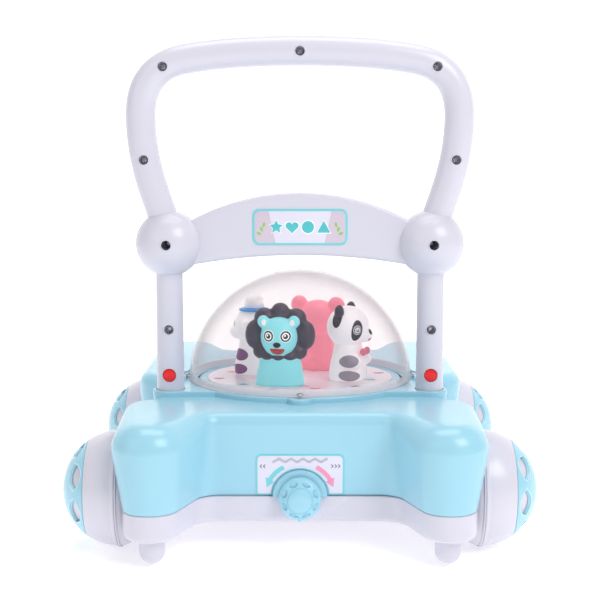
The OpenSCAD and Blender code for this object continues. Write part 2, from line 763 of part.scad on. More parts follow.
upper_shell();
lower_tray();
shell_screws();
left_foot();
right_foot();
dome();
dome_screws();
speed_label();
rear_axle_bushes();
front_axle_bushes();
spindle_tower();
drive_shaft_bearings();
handle_rear_shell();
handle_front_shell();
handle_screws();
handle_plate();
left_button_spring();
right_button_spring();
left_release_button();
right_release_button();
rear_axle();
rear_washers();
brake_sleeve();
rear_left_wheel_inner();
rear_left_wheel_outer();
rear_left_hub_cap();
rear_right_wheel_inner();
rear_right_wheel_outer();
rear_right_hub_cap();
front_axle();
front_washers();
axle_face_gear();
front_left_wheel_inner();
front_left_wheel_outer();
front_left_hub_cap();
front_right_wheel_inner();
front_right_wheel_outer();
front_right_hub_cap();
drive_shaft();
axle_pinion();
table_pinion();
turntable_disc();
turntable_sheet();
turntable_spindle();
turntable_face_gear();
lion_figure();
panda_figure();
pig_figure();
hippo_figure();
speed_knob();
knob_screw();
brake_shoe();
brake_pad();
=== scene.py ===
"""Looks of a push-along baby walker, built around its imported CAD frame.

Lengths are in millimetres until solid() turns them into metres. The child stands on the -Y side.
"""
from math import acos, atan2, cos, degrees, pi, radians, sin, sqrt, tau

import bmesh
import bpy
from mathutils import Matrix, Vector
from mathutils.bvhtree import BVHTree


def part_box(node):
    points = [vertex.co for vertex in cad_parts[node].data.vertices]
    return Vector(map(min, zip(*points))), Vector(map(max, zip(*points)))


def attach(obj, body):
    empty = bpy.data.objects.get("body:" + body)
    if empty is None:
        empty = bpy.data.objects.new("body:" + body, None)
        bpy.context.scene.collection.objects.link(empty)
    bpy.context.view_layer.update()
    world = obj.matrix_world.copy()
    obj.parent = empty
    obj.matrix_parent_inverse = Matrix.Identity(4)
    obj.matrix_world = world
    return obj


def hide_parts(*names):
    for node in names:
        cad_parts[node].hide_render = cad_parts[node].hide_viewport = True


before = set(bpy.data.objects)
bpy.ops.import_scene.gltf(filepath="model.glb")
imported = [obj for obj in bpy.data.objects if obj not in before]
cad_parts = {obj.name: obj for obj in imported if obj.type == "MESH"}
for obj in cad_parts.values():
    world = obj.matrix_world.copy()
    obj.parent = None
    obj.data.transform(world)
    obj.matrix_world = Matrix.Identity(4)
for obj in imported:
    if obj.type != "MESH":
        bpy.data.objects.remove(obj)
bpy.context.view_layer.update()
MM = 0.001

# Body
SIDE_X, MID_Y = 149.5, 146
LOBE_Y, LOBE_R = 190, 24
PART_Z, TRAY_Z, DECK_Z, PLATEAU_Z = 47.5, 23.5, 122.5, 127.5
FLARE, WALL, SHOULDER_R = 8.8, 2.5, 11
LOBE_SHOULDER, LOBE_SOFT_FROM, LOBE_SOFT_RUN = 23, 150, 50
HOOD_Z, HOOD_Y = 132, -21
NOTCH, NOTCH_R, LOBE_BACK = 22, 10, -80
LOBE_SLANT, WAIST_R = radians(19), 22
# Wheels
WHEEL_R, BALL_R, AXLE_Y = 52, 51.1, 134
SEAM_X, CAP_X, WHEEL_FACE_X = 158, 186, 140
WELL_R, WELL_X = 58, 136
CAP_WINDOWS, WINDOW_RHO = 7, 35
# Dome and turntable
DOME_R, DOME_Z, DOME_T = 108.7, 125, 2
LUG_TURNS = [radians(a) for a in (-90, 0, 90, 180)]
LUG_RHO = DOME_R - 6.1
DISC_R, SHEET_R, TABLE_Z, RING_R = 98, 90, 129, 50
OPENING_R = DISC_R + 2.5
# Handle
LEG_X, LEG_Y, LEG_BOTTOM = 120.8, -63, 72.5
LOOP_R, HUB_Z, HUB_R, SOCKET_R = 13.5, 263.5, 30.5, 13.5
ARCH_TOP, ARCH_LOW, ARCH_HALF = (310, 212), (253, 556), 9
BUTTON_Z, BUTTON_R = 142, 5.9
SCREWS = [(0, 437.5), (123.8, 423.6), (141.9, 340), (LEG_X, HUB_Z), (LEG_X, 184.5)]
# Knob
KNOB_R, BOSS_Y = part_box("speed_knob")[1][0] / MM, -152
BOSS_R = KNOB_R + 5.3
# Light and camera, the latter in metres and degrees
FLOOR_GLOW, WORLD_LIGHT = 0.38, 0.38
KEY_WATTS, FILL_WATTS, TOP_WATTS = 29, 5, 20
CAMERA_AT, CAMERA_DOWN, CAMERA_LENS = (0, -1.243, 0.3436), 6.42, 76.8
# A figure's left and right
SIDES = (("l", 1), ("r", -1))


# ---- points and meshes ----

def polar(r, a):
    return (r * cos(a), r * sin(a))


def full_turn(n):
    """n angles round a whole turn."""
    return [tau * k / n for k in range(n)]


def quarter_turn(n):
    """n + 1 angles from 0 to a right angle."""
    return [pi / 2 * k / n for k in range(n + 1)]


def arc(centre, r, a0, a1, n):
    """n + 1 points on an arc, its angles in degrees."""
    steps = [radians(a0 + (a1 - a0) * i / n) for i in range(n + 1)]
    return [(centre[0] + r * cos(a), centre[1] + r * sin(a)) for a in steps]


def solid(name, points, faces):
    """A new object from points in millimetres, its doubled points merged and its normals outwards."""
    mesh = bpy.data.meshes.new(name)
    mesh.from_pydata([[c * MM for c in p] for p in points], [], faces)
    bm = bmesh.new()
    bm.from_mesh(mesh)
    bmesh.ops.remove_doubles(bm, verts=bm.verts, dist=1e-7)
    bmesh.ops.recalc_face_normals(bm, faces=bm.faces)
    bm.to_mesh(mesh)
    bm.free()
    obj = bpy.data.objects.new(name, mesh)
    bpy.context.scene.collection.objects.link(obj)
    return obj


def skin(name, rings, loop=False):
    """A skin through rings of equally many points, closed by a face at either end or ring to ring."""
    m, n = len(rings[0]), len(rings)
    faces = [(i * m + j, (i + 1) % n * m + j, (i + 1) % n * m + (j + 1) % m, i * m + (j + 1) % m)
             for i in range(n if loop else n - 1) for j in range(m)]
    if not loop:
        faces += [tuple(range(m)), tuple((n - 1) * m + j for j in range(m))]
    return solid(name, [p for ring in rings for p in ring], faces)


def placed(axis, at, u, v, w):
    """The point at u, v across the axis and w along it."""
    across = {"X": (w, u, v), "Y": (u, w, v), "Z": (u, v, w)}[axis]
    return [a + b for a, b in zip(at, across)]


def lathe(name, profile, axis="Z", at=(0, 0, 0), n=96, loop=False):
    """The profile of (radius, height) points turned about an axis."""
    rings = [[placed(axis, at, *polar(r, a), h) for a in full_turn(n)] for r, h in profile]
    return skin(name, rings, loop)


def rod(name, r, h0, h1, axis="Z", at=(0, 0, 0), n=64):
    """A plain cylinder, most often one that cuts a hole."""
    return lathe(name, [(0, h0), (r, h0), (r, h1), (0, h1)], axis, at, n)


def prism(name, shape, h0, h1, axis="Z", at=(0, 0, 0), ease=0):
    """An outline pushed along an axis, its far edge rounded by ease."""
    cx, cy = sum(p[0] for p in shape) / len(shape), sum(p[1] for p in shape) / len(shape)
    reach = max(sqrt((x - cx) ** 2 + (y - cy) ** 2) for x, y in shape)
    lead = 1 if h1 > h0 else -1
    levels = [(h0, 0)]
    for i in range(5 if ease else 1):
        a = pi / 8 * i
        levels.append((h1 - lead * ease * (1 - sin(a)), ease * (1 - cos(a))))
    rings = [[placed(axis, at, cx + (x - cx) * (1 - e / reach), cy + (y - cy) * (1 - e / reach), h)
              for x, y in shape] for h, e in levels]
    return skin(name, rings)


def sweep(name, path, radii, n=40, side=(0, 1, 0)):
    """A round tube along a path that lies across the direction side."""
    rings = []
    for i, p in enumerate(path):
        ahead = Vector(path[min(i + 1, len(path) - 1)]) - Vector(path[max(i - 1, 0)])
        out = ahead.cross(Vector(side)).normalized()
        rings.append([Vector(p) + radii[i] * (out * cos(a) + Vector(side) * sin(a))
                      for a in full_turn(n)])
    return skin(name, rings)


def bake(obj):
    """Applies an object's modifiers."""
    depsgraph = bpy.context.evaluated_depsgraph_get()
    mesh = bpy.data.meshes.new_from_object(obj.evaluated_get(depsgraph))
    old = obj.data
    obj.modifiers.clear()
    obj.data = mesh
    bpy.data.meshes.remove(old)
    return obj


def combine(obj, tools, how="DIFFERENCE"):
    """Cuts the tools from obj, or adds them to it, one exact boolean each, and removes them."""
    for tool in tools:
        modifier = obj.modifiers.new("combine", "BOOLEAN")
        modifier.operation = how
        modifier.solver = "EXACT"
        modifier.object = tool
    bake(obj)
    for tool in tools:
        bpy.data.objects.remove(tool)
    return obj


def join(obj, others):
    """Puts the meshes of others into obj without merging them."""
    bm = bmesh.new()
    for o in [obj, *others]:
        bm.from_mesh(o.data)
    bm.to_mesh(obj.data)
    bm.free()
    for o in others:
        bpy.data.objects.remove(o)
    return obj


def piece(obj, body, look, replaces=(), angle=32):
    """Gives obj its shading, material and body, and the CAD nodes it stands for."""
    obj.data.shade_smooth()
    obj.data.set_sharp_from_angle(angle=radians(angle))
    obj.data.materials.clear()
    obj.data.materials.append(look)
    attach(obj, body)
    if replaces:
        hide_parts(*replaces)
    return obj


def patch(name, target, shape, at, facing, up=(0, 0, 1), lift=0.2, rings=6):
    """A printed or painted patch of the given outline, laid on target's surface around at."""
    out = Vector(facing).normalized()
    top = (Vector(up) - out * out.dot(Vector(up))).normalized()
    across = top.cross(out)
    tree = BVHTree.FromObject(target, bpy.context.evaluated_depsgraph_get())
    points = []
    for i in range(rings + 1):
        for u, v in shape:
            start = Vector(at) + (across * u + top * v) * (i / rings) + out * 60
            hit, normal, _, _ = tree.ray_cast(start * MM, -out)
            if hit is None:
                hit, normal = tree.find_nearest(start * MM - out * 60 * MM)[:2]
            points.append(hit / MM + normal * lift)
    m = len(shape)
    faces = [(i * m + j, i * m + (j + 1) % m, (i + 1) * m + (j + 1) % m, (i + 1) * m + j)
             for i in range(rings) for j in range(m)]
    obj = solid(name, points, faces)
    if sum((p.normal.dot(out) for p in obj.data.polygons)) < 0:
        obj.data.flip_normals()
    return obj


# ---- outlines ----

def squared(t, power):
    """A sine or cosine raised to a power, its sign kept, to square off a round section."""
    return abs(t) ** power * (1 if t > 0 else -1)


def spun(shape, a):
    """The outline turned by a radians."""
    c, s = cos(a), sin(a)
    return [(x * c - y * s, x * s + y * c) for x, y in shape]


def ellipse(a, b, n=40, turn=0):
    return spun([(a * cos(t), b * sin(t)) for t in full_turn(n)], radians(turn))


def lens(half_length, half_width, n=12):
    """Two arcs that meet at points, long along the first axis."""
    r = (half_length ** 2 + half_width ** 2) / (2 * half_width)
    reach = degrees(atan2(half_length, r - half_width))
    top = arc((0, half_width - r), r, 90 - reach, 90 + reach, n)[:-1]
    return top + [(-x, -y) for x, y in top]


def star(r, points=5, waist=0.5):
    return [polar(r if i % 2 == 0 else r * waist, pi / 2 + pi * i / points) for i in range(2 * points)]


def heart(r, n=36):
    return [(r * sin(t) ** 3, r * (13 * cos(t) - 5 * cos(2 * t) - 2 * cos(3 * t) - cos(4 * t)) / 16)
            for t in full_turn(n)]


def rounded(shape, r, n=5):
    """The outline with its corners rounded."""
    out = []
    for i, p in enumerate(shape):
        before = (Vector(shape[i - 1]) - Vector(p)).normalized() * r
        after = (Vector(shape[(i + 1) % len(shape)]) - Vector(p)).normalized() * r
        for k in range(n + 1):
            t = k / n
            out.append(tuple(Vector(p) + before * (1 - t) ** 2 + after * t ** 2))
    return out


def rectangle(w, h):
    return [(w / 2, -h / 2), (w / 2, h / 2), (-w / 2, h / 2), (-w / 2, -h / 2)]


def body_outline(e, mid=MID_Y):
    """The body's outline pulled in by e: lobes at its corners, waists at its ends, notched flanks."""
    lobe_x = SIDE_X - LOBE_R
    run = sin(LOBE_SLANT) * (LOBE_Y - mid - WAIST_R) + LOBE_R + WAIST_R
    waist_x = lobe_x - run / cos(LOBE_SLANT)
    quarter = arc((waist_x, -mid - WAIST_R), WAIST_R + e, 90, degrees(LOBE_SLANT), 12)
    quarter += arc((lobe_x, -LOBE_Y), LOBE_R - e, 180 + degrees(LOBE_SLANT), 360, 28)
    bend = acos(1 - NOTCH / (LOBE_R + NOTCH_R))
    reach = (LOBE_R + NOTCH_R) * sin(bend)
    floor_x = lobe_x + (LOBE_R + NOTCH_R) * cos(bend)

    def notch_end(y):
        """Round the lobe, then into the floor of the notch, which starts at y."""
        out = arc((lobe_x, y - reach), LOBE_R - e, 0, degrees(bend), 8)
        return out + arc((floor_x, y), NOTCH_R + e, 180 + degrees(bend), 180, 5)

    half = quarter + notch_end(LOBE_BACK) + [(SIDE_X - NOTCH - e, HOOD_Y)]
    half += [(x, -y) for x, y in notch_end(-HOOD_Y - 1)[::-1]]
    half += [(x, -y) for x, y in quarter[::-1]]
    return half + [(-x, y) for x, y in half[::-1]]


def body_ring(z, e, mid=MID_Y):
    return [(x, y, z) for x, y in body_outline(e, mid)]


def shoulder(inset, radius=SHOULDER_R, steps=12):
    """Heights and insets of the rounded shoulder, for a skin that lies inset inside the outer one."""
    r = radius - inset
    return [(DECK_Z - radius + r * sin(a), inset - FLARE + r * (1 - cos(a)))
            for a in quarter_turn(steps)]


def shoulder_rings(inset):
    """The deck's shoulder: tight round the body, full on the front of the near lobes."""
    rings = []
    for (z0, e0), (z1, e1) in zip(shoulder(inset), shoulder(inset, LOBE_SHOULDER)):
        ring = []
        for (x0, y0), (x1, y1) in zip(body_outline(e0), body_outline(e1)):
            t = min(1, max(0, (-y0 - LOBE_SOFT_FROM) / LOBE_SOFT_RUN))
            t = t * t * (3 - 2 * t)
            ring.append((x0 + (x1 - x0) * t, y0 + (y1 - y0) * t, z0 + (z1 - z0) * t))
        rings.append(ring)
    return rings


# ---- materials ----

def linear(*channels):
    """An 8-bit screen colour as the linear values that shaders use."""
    return (*(c / 3294.6 if c < 10.3 else ((c / 255 + 0.055) / 1.055) ** 2.4 for c in channels), 1)


class Nodes:
    """A material's node tree, with short calls for the nodes used here."""

    def __init__(self, name):
        self.material = bpy.data.materials.new(name)
        self.material.use_nodes = True
        self.tree = self.material.node_tree
        self.bsdf = self.tree.nodes["Principled BSDF"]
        self.output = self.tree.nodes["Material Output"]
        self.place = self.tree.nodes.new("ShaderNodeTexCoord").outputs["Object"]

    def new(self, kind, **values):
        node = self.tree.nodes.new("ShaderNode" + kind)
        for key, value in values.items():
            if hasattr(node, key):
                setattr(node, key, value)
            else:
                node.inputs[key.replace("_", " ")].default_value = value
        return node

    def link(self, source, target):
        self.tree.links.new(source, target)

    def noise(self, scale, detail=3, place=None):
        node = self.new("TexNoise", Scale=scale, Detail=detail)
        self.link(place or self.place, node.inputs["Vector"])
        return node.outputs["Fac"]

    def ranged(self, value, low, high, start=0.3, end=0.7):
        node = self.new("MapRange")
        for socket, number in zip(node.inputs[1:5], (start, end, low, high)):
            socket.default_value = number
        self.link(value, node.inputs["Value"])
        return node.outputs["Result"]

    def mixed(self, factor, a, b):
        node = self.new("Mix", data_type="RGBA")
        sockets = (node.inputs["Factor"], node.inputs[6], node.inputs[7])
        for socket, value in zip(sockets, (factor, a, b)):
            if isinstance(value, bpy.types.NodeSocket):
                self.link(value, socket)
            else:
                socket.default_value = value
        return node.outputs[2]

    def bumped(self, height, strength, depth, edge=0.0):
        """A bump from height, over edges rounded by edge millimetres."""
        node = self.new("Bump", Strength=strength, Distance=depth * MM)
        self.link(height, node.inputs["Height"])
        if edge:
            bevel = self.new("Bevel", samples=4, Radius=edge * MM)
            self.link(bevel.outputs["Normal"], node.inputs["Normal"])
        self.link(node.outputs["Normal"], self.bsdf.inputs["Normal"])

    def set(self, **values):
        for key, value in values.items():
            self.bsdf.inputs[key.replace("_", " ")].default_value = value


def plastic(name, colour, rough=0.3, drift=0.012, edge=0.5, grain=0.03, glow=0.0, **extra):
    """Moulded plastic: slight shifts of tone and gloss, and fine grain.

    The real parts don't glow: a little emission only makes up for light that this dome keeps out.
    """
    m = Nodes(name)
    dark = [c * (1 - drift) for c in colour[:3]] + [1]
    light = [min(1, c * (1 + drift)) for c in colour[:3]] + [1]
    m.link(m.mixed(m.ranged(m.noise(7, 1), 0, 1, 0, 1), dark, light), m.bsdf.inputs["Base Color"])
    m.link(m.ranged(m.noise(18, 1), rough * 0.9, rough * 1.1, 0, 1), m.bsdf.inputs["Roughness"])
    m.bumped(m.noise(1400, 2), grain, 0.05, edge)
    m.set(Emission_Color=colour, Emission_Strength=glow, **extra)
    return m.material


def clear_plastic():
    """Thin clear plastic: mostly see-through, greyer and glossier towards its outline."""
    m = Nodes("clear_plastic")
    through = m.new("BsdfTransparent")
    tint = m.mixed(m.ranged(m.noise(9), 0, 1), linear(248, 246, 247), linear(250, 249, 249))
    m.link(tint, through.inputs["Color"])
    m.set(Base_Color=linear(214, 208, 212), Roughness=0.06, IOR=1.46)
    m.link(m.ranged(m.noise(40), 0.04, 0.09), m.bsdf.inputs["Roughness"])
    facing = m.new("LayerWeight", Blend=0.32).outputs["Facing"]
    body = m.new("MapRange", interpolation_type="SMOOTHSTEP")
    for socket, number in zip(body.inputs[1:5], (0.3, 1.0, 0.03, 0.8)):
        socket.default_value = number
    m.link(facing, body.inputs["Value"])
    mix = m.new("MixShader")
    m.link(body.outputs["Result"], mix.inputs["Fac"])
    m.link(through.outputs[0], mix.inputs[1])
    m.link(m.bsdf.outputs[0], mix.inputs[2])
    m.link(mix.outputs[0], m.output.inputs["Surface"])
    return m.material


def metal(name, colour, rough):
    m = Nodes(name)
    m.set(Metallic=1.0)
    m.link(m.mixed(m.ranged(m.noise(300), 0, 1), colour, [c * 0.8 for c in colour[:3]] + [1]),
           m.bsdf.inputs["Base Color"])
    m.link(m.ranged(m.noise(700, 4), rough * 0.8, rough * 1.3), m.bsdf.inputs["Roughness"])
    m.bumped(m.noise(2500, 2), 0.15, 0.05)
    return m.material


def printed(name, ground, inks, scale=34, share=0.2):
    """Glossy printed sheet: a pale ground with scattered soft dots in a few inks."""
    m = Nodes(name)
    cells = m.new("TexVoronoi", Scale=scale, Randomness=0.85)
    m.link(m.place, cells.inputs["Vector"])
    near = m.ranged(cells.outputs["Distance"], 1, 0, share, share + 0.06)
    ramp = m.new("ValToRGB")
    ramp.color_ramp.interpolation = "CONSTANT"
    while len(ramp.color_ramp.elements) < len(inks):
        ramp.color_ramp.elements.new(0.5)
    for i, (element, ink) in enumerate(zip(ramp.color_ramp.elements, inks)):
        element.position = i / len(inks)
        element.color = ink
    m.link(cells.outputs["Color"], ramp.inputs["Fac"])
    wash = m.mixed(m.ranged(m.noise(22), 0, 1), ground, [c * 0.94 for c in ground[:3]] + [1])
    m.link(m.mixed(near, wash, ramp.outputs["Color"]), m.bsdf.inputs["Base Color"])
    m.set(Roughness=0.28)
    m.bumped(m.noise(900), 0.03, 0.05)
    return m.material


AQUA = plastic("aqua_plastic", linear(160, 212, 231), 0.24)
LAVENDER = plastic("lavender_plastic", linear(216, 213, 226), 0.26)
RED = plastic("red_plastic", linear(255, 34, 38), 0.22)
CLEAR = clear_plastic()
STEEL = metal("steel", linear(200, 200, 205), 0.25)
NYLON = plastic("nylon", linear(238, 235, 225), 0.45, edge=0)
RUBBER = plastic("rubber", linear(48, 48, 50), 0.7, edge=0)
TEAL = plastic("teal_vinyl", linear(140, 226, 232), 0.4, 0.03, glow=0.3, Sheen_Weight=0.15)
WHITE = plastic("white_vinyl", linear(248, 245, 246), 0.4, 0.02, glow=0.25, Sheen_Weight=0.15)
PINK = plastic("pink_vinyl", linear(255, 146, 164), 0.4, 0.03, glow=0.3, Sheen_Weight=0.15)
MANE = plastic("dark_vinyl", linear(74, 66, 84), 0.38, 0.12)
GREY = plastic("grey_paint", linear(166, 160, 172), 0.35, 0.05, edge=0)
PURPLE = plastic("purple_paint", linear(148, 96, 150), 0.35, 0.08, edge=0)
BLACK = plastic("black_paint", linear(6, 6, 8), 0.5, 0.1, edge=0)
BRIGHT = plastic("white_paint", linear(250, 250, 250), 0.3, edge=0, glow=0.4)
SCARLET = plastic("red_paint", linear(214, 52, 40), 0.3, 0.06, edge=0)
BLUE = plastic("blue_paint", linear(60, 160, 232), 0.3, 0.05, edge=0)
CORAL = plastic("coral_paint", linear(244, 130, 150), 0.35, 0.05, edge=0)
PRINT_TEAL = plastic("teal_print", linear(84, 196, 204), 0.3, 0.03, edge=0)
PRINT_PINK = plastic("pink_print", linear(246, 150, 186), 0.3, 0.03, edge=0)
PRINT_GREEN = plastic("green_print", linear(150, 206, 96), 0.3, 0.05, edge=0)
PRINT_WHITE = plastic("white_print", linear(250, 250, 252), 0.3, 0.02, edge=0)
PRINT_BROWN = plastic("brown_print", linear(150, 112, 108), 0.3, 0.1, edge=0)
# Lighter aqua for the hub caps' window lips: a painted highlight of the windows' lit edges.
AQUA_HIGHLIGHT = plastic("aqua_rim_highlight", linear(206, 236, 246), 0.25)
PRINT_AQUA = plastic("aqua_print", linear(120, 214, 222), 0.3)
PRINT_PALE = plastic("pale_print", linear(228, 224, 240), 0.3)
PRINT_MAUVE = plastic("mauve_print", linear(214, 198, 214), 0.3)
CLEAR_BAND = plastic("clear_band", linear(236, 232, 235), 0.2, glow=0.3, Alpha=0.45)
PRINT_DARK = plastic("dark_print", linear(52, 48, 64), 0.4, 0.05, edge=0)
SHEET = printed("printed_sheet", linear(246, 236, 242),
                [linear(240, 196, 200), linear(206, 228, 236), linear(226, 202, 190),
                 linear(236, 214, 232), linear(246, 228, 200)])


# ---- body ----

def wells(r, x):
    """Four wheel-well cylinders from x outwards."""
    return [rod("well", r, side * x, side * 200, "X", (0, end * AXLE_Y, WHEEL_R), 128)
            for side in (-1, 1) for end in (-1, 1)]


def body_block(name, rings, inset):
    """A solid block of the body with its wheel wells cut out."""
    block = skin(name, rings)
    return combine(block, wells(WELL_R + inset, WELL_X - inset))


def plateau():
    """Raised plateau: a rounded rectangle, the ring under the dome, its lugs and the leg collars."""
    parts = [prism("plateau", rounded([(x, y + 20) for x, y in rectangle(264, 196)], 12),
                   DECK_Z - 1, PLATEAU_Z, ease=1.6)]
    discs = [(0, 0, DOME_R + 1.8)]
    discs += [(side * LEG_X, LEG_Y, SOCKET_R + 3) for side in (-1, 1)]
    discs += [(*polar(DOME_R, a), 11) for a in LUG_TURNS]
    for x, y, r in discs:
        rim = [(r - 1.6 * (1 - cos(a)), PLATEAU_Z - 1.6 + 1.6 * sin(a)) for a in (0, 0.5, 1, 1.3)]
        parts.append(lathe("disc", [(0, DECK_Z - 1), (r, DECK_Z - 1), *rim, (r - 1.6, PLATEAU_Z),
                                    (0, PLATEAU_Z)], at=(x, y, 0), n=160 if r > 50 else 64))
    return parts


def hood_skin(inset):
    """Skin of the hood, inset from its outside: the far part of the body's outline, lifted."""
    rise = HOOD_Z - DECK_Z
    low = DECK_Z - SHOULDER_R
    levels = [(low - 2.5, inset + 0.4 - FLARE), (low, inset + 0.01 - FLARE)]
    levels += [(z + rise, e + 0.01) for z, e in shoulder(inset)]
    rings = []
    for z, e in levels:
        front = HOOD_Y + inset + 0.4 * (e - inset + FLARE)
        rings.append([(x, max(y, front), z) for x, y in body_outline(e) if y >= HOOD_Y])
    return skin("hood", rings)


def hood():
    """The raised hood, hollow but for a wall round the dome, with room for the dome and its lugs."""
    inner = combine(hood_skin(WALL), [rod("wall", DOME_R + 10, 90, 140, n=160)])
    floor, wide = PLATEAU_Z - 0.05, DOME_R + 3.3
    room = [(0, 90), (OPENING_R, 90), (OPENING_R, floor), (wide, floor), (wide, 140), (0, 140)]
    pockets = [rod("pocket", 13.4, floor, 140, at=(*polar(LUG_RHO, a), 0)) for a in LUG_TURNS]
    return combine(hood_skin(0), [inner, lathe("room", room, n=160), *pockets])


def upper_shell():
    lip = [(PART_Z + 0.1, 0.7), (PART_Z + 0.8, 0.0)]
    rings = [body_ring(z, e) for z, e in lip] + shoulder_rings(0)
    hollow = [body_ring(PART_Z - 5, WALL)] + shoulder_rings(WALL)
    shell = body_block("shell", rings, 0)
    shell = combine(shell, [body_block("hollow", hollow, WALL)])
    leg_ends = [(side * LEG_X, LEG_Y, 0) for side in (-1, 1)]
    sockets = [rod("socket", SOCKET_R + WALL, LEG_BOTTOM - 4, DECK_Z - 0.5, at=at) for at in leg_ends]
    boss = lathe("boss", [(0, BOSS_Y + 8), (BOSS_R, BOSS_Y + 8), (BOSS_R, BOSS_Y + 0.8),
                          (BOSS_R - 0.8, BOSS_Y), (0, BOSS_Y)], "Y", (0, 0, PART_Z), 96)
    below = skin("below", [[(x, y, z) for x, y in rectangle(80, 340)] for z in (0, PART_Z + 0.1)])
    combine(shell, plateau() + sockets + [combine(boss, [below]), hood()], "UNION")
    holes = [rod("hole", SOCKET_R, LEG_BOTTOM - 1, 140, at=at) for at in leg_ends]
    holes.append(rod("hole", OPENING_R, DECK_Z - 8, 140, n=160))
    combine(shell, holes)
    piece(shell, "chassis", AQUA, ["upper_shell"])
    return shell


def lower_tray():
    mid = MID_Y + 2.5
    base = [(TRAY_Z, 5), (TRAY_Z + 0.5, 3.2), (TRAY_Z + 1.6, 1.5), (TRAY_Z + 3.4, 0.4), (TRAY_Z + 6, 0)]
    rings = [body_ring(z, e, mid) for z, e in base + [(PART_Z - 0.8, 0), (PART_Z - 0.1, 0.7)]]
    hollow = [body_ring(z, e, mid) for z, e in [(TRAY_Z + WALL, WALL + 1), (PART_Z + 5, WALL + 1)]]
    tray = body_block("tray", rings, 0)
    tray = combine(tray, [body_block("hollow", hollow, WALL)])
    boss = lathe("boss", [(0, BOSS_Y + 8), (KNOB_R - 0.4, BOSS_Y + 8), (KNOB_R - 0.4, BOSS_Y + 0.5),
                          (KNOB_R - 0.9, BOSS_Y), (0, BOSS_Y)], "Y", (0, 0, PART_Z), 96)
    above = skin("above", [[(x, y, z) for x, y in rectangle(80, 340)] for z in (PART_Z - 0.1, 90)])
    combine(tray, [combine(boss, [above])], "UNION")
    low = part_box("shell_screws")[0][2] / MM
    spots = [(118, 190), (75, 115), (117, 0), (75, -115)]
    recesses = [lathe("recess", [(0, low + 2.4), (3.6, low + 2.4), (4.2, TRAY_Z - 1), (0, TRAY_Z - 1)],
                      at=(side * x, y, 0), n=32) for x, y in spots for side in (-1, 1)]
    combine(tray, recesses)
    piece(tray, "chassis", LAVENDER, ["lower_tray"])
    return tray


def feet():
    """Two stub feet with a collar and a hemispherical end."""
    for node in ("left_foot", "right_foot"):
        lo, hi = (Vector(c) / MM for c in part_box(node))
        r = (hi.x - lo.x) / 2
        profile = [(r * sin(a), lo.z + r - r * cos(a)) for a in [pi / 2 * k / 12 for k in range(13)]]
        profile += [(r, TRAY_Z - 0.7), (r - 0.4, TRAY_Z - 0.3), (r - 0.4, TRAY_Z + 1), (0, TRAY_Z + 1)]
        foot = lathe(node + "_ball", profile, at=((lo.x + hi.x) / 2, (lo.y + hi.y) / 2, 0), n=64)
        piece(foot, "chassis", LAVENDER, [node])


# ---- screws ----

def phillips(name, r, at, axis="Y", way=-1):
    """A pan-head screw with a cross recess, its head pointing way along the axis."""
    h = r * 0.55
    rim = [(r * cos(a), way * (h * 0.35 + h * 0.65 * sin(a))) for a in quarter_turn(8)]
    head = lathe(name, [(0, 0), (r, 0), *rim], axis, at, 40)
    arm, width = r * 0.62, r * 0.17
    slots = []
    for w, d in ((arm, width), (width, arm)):
        rings = [[placed(axis, at, x * g, y * g, way * z) for x, y in rectangle(2 * w, 2 * d)]
                 for z, g in ((h * 0.35, 0.6), (h * 1.3, 1.05))]
        slots.append(skin("slot", rings))
    return combine(head, slots)


# ---- handle ----

def bezier(p, t):
    weights = ((1 - t) ** 3, 3 * t * (1 - t) ** 2, 3 * t * t * (1 - t), t ** 3)
    return tuple(sum(w * q[i] for w, q in zip(weights, p)) for i in (0, 1))


def loop_path():
    """The handle loop's centre line, from the left hub over the top to the right one."""
    curves = [[(LEG_X, HUB_Z + 8), (127, 297), (145.5, 330), (145.5, 380)],
              [(145.5, 380), (145.5, 410), (131, 426), (105, 431)],
              [(105, 431), (75, 436.5), (38, 438.5), (0, 438.5)]]
    half = [(LEG_X, HUB_Z + 8)] + [bezier(c, k / 16) for c in curves for k in range(1, 17)]
    return [(-x, z) for x, z in half] + [p for p in half[-2::-1]]


def arch_panel():
    """Curved panel between the hubs, crowned front and back, with rounded edges."""
    steps = 48
    rings = []
    for k in range(steps + 1):
        x = LEG_X * (2 * k / steps - 1)
        top = ARCH_TOP[0] - ARCH_TOP[1] + sqrt(ARCH_TOP[1] ** 2 - x * x)
        low = ARCH_LOW[0] - ARCH_LOW[1] + sqrt(ARCH_LOW[1] ** 2 - x * x)
        mid, half = (top + low) / 2, (top - low) / 2
        section = [(squared(cos(a), 0.24), squared(sin(a), 0.24)) for a in full_turn(48)]
        rings.append([(x, LEG_Y + ARCH_HALF * c, mid + half * s) for c, s in section])
    return skin("arch", rings)


def handle_core(side):
    """The left or right hub ball with its leg."""
    x = side * LEG_X
    ball = [(HUB_R * sin(a), HUB_Z - HUB_R * cos(a)) for a in [pi * k / 48 for k in range(49)]]
    leg = [(0, LEG_BOTTOM), (11.9, LEG_BOTTOM), (12.6, LEG_BOTTOM + 0.8), (12.6, 100),
           (12.6, PLATEAU_Z), (12.35, 200), (12.2, HUB_Z), (0, HUB_Z)]
    return [lathe("ball", ball, at=(x, LEG_Y, 0), n=96), lathe("leg", leg, at=(x, LEG_Y, 0), n=64)]


def at_screws():
    return [(side * x, z) for x, z in SCREWS for side in ((-1, 1) if x else (1,))]


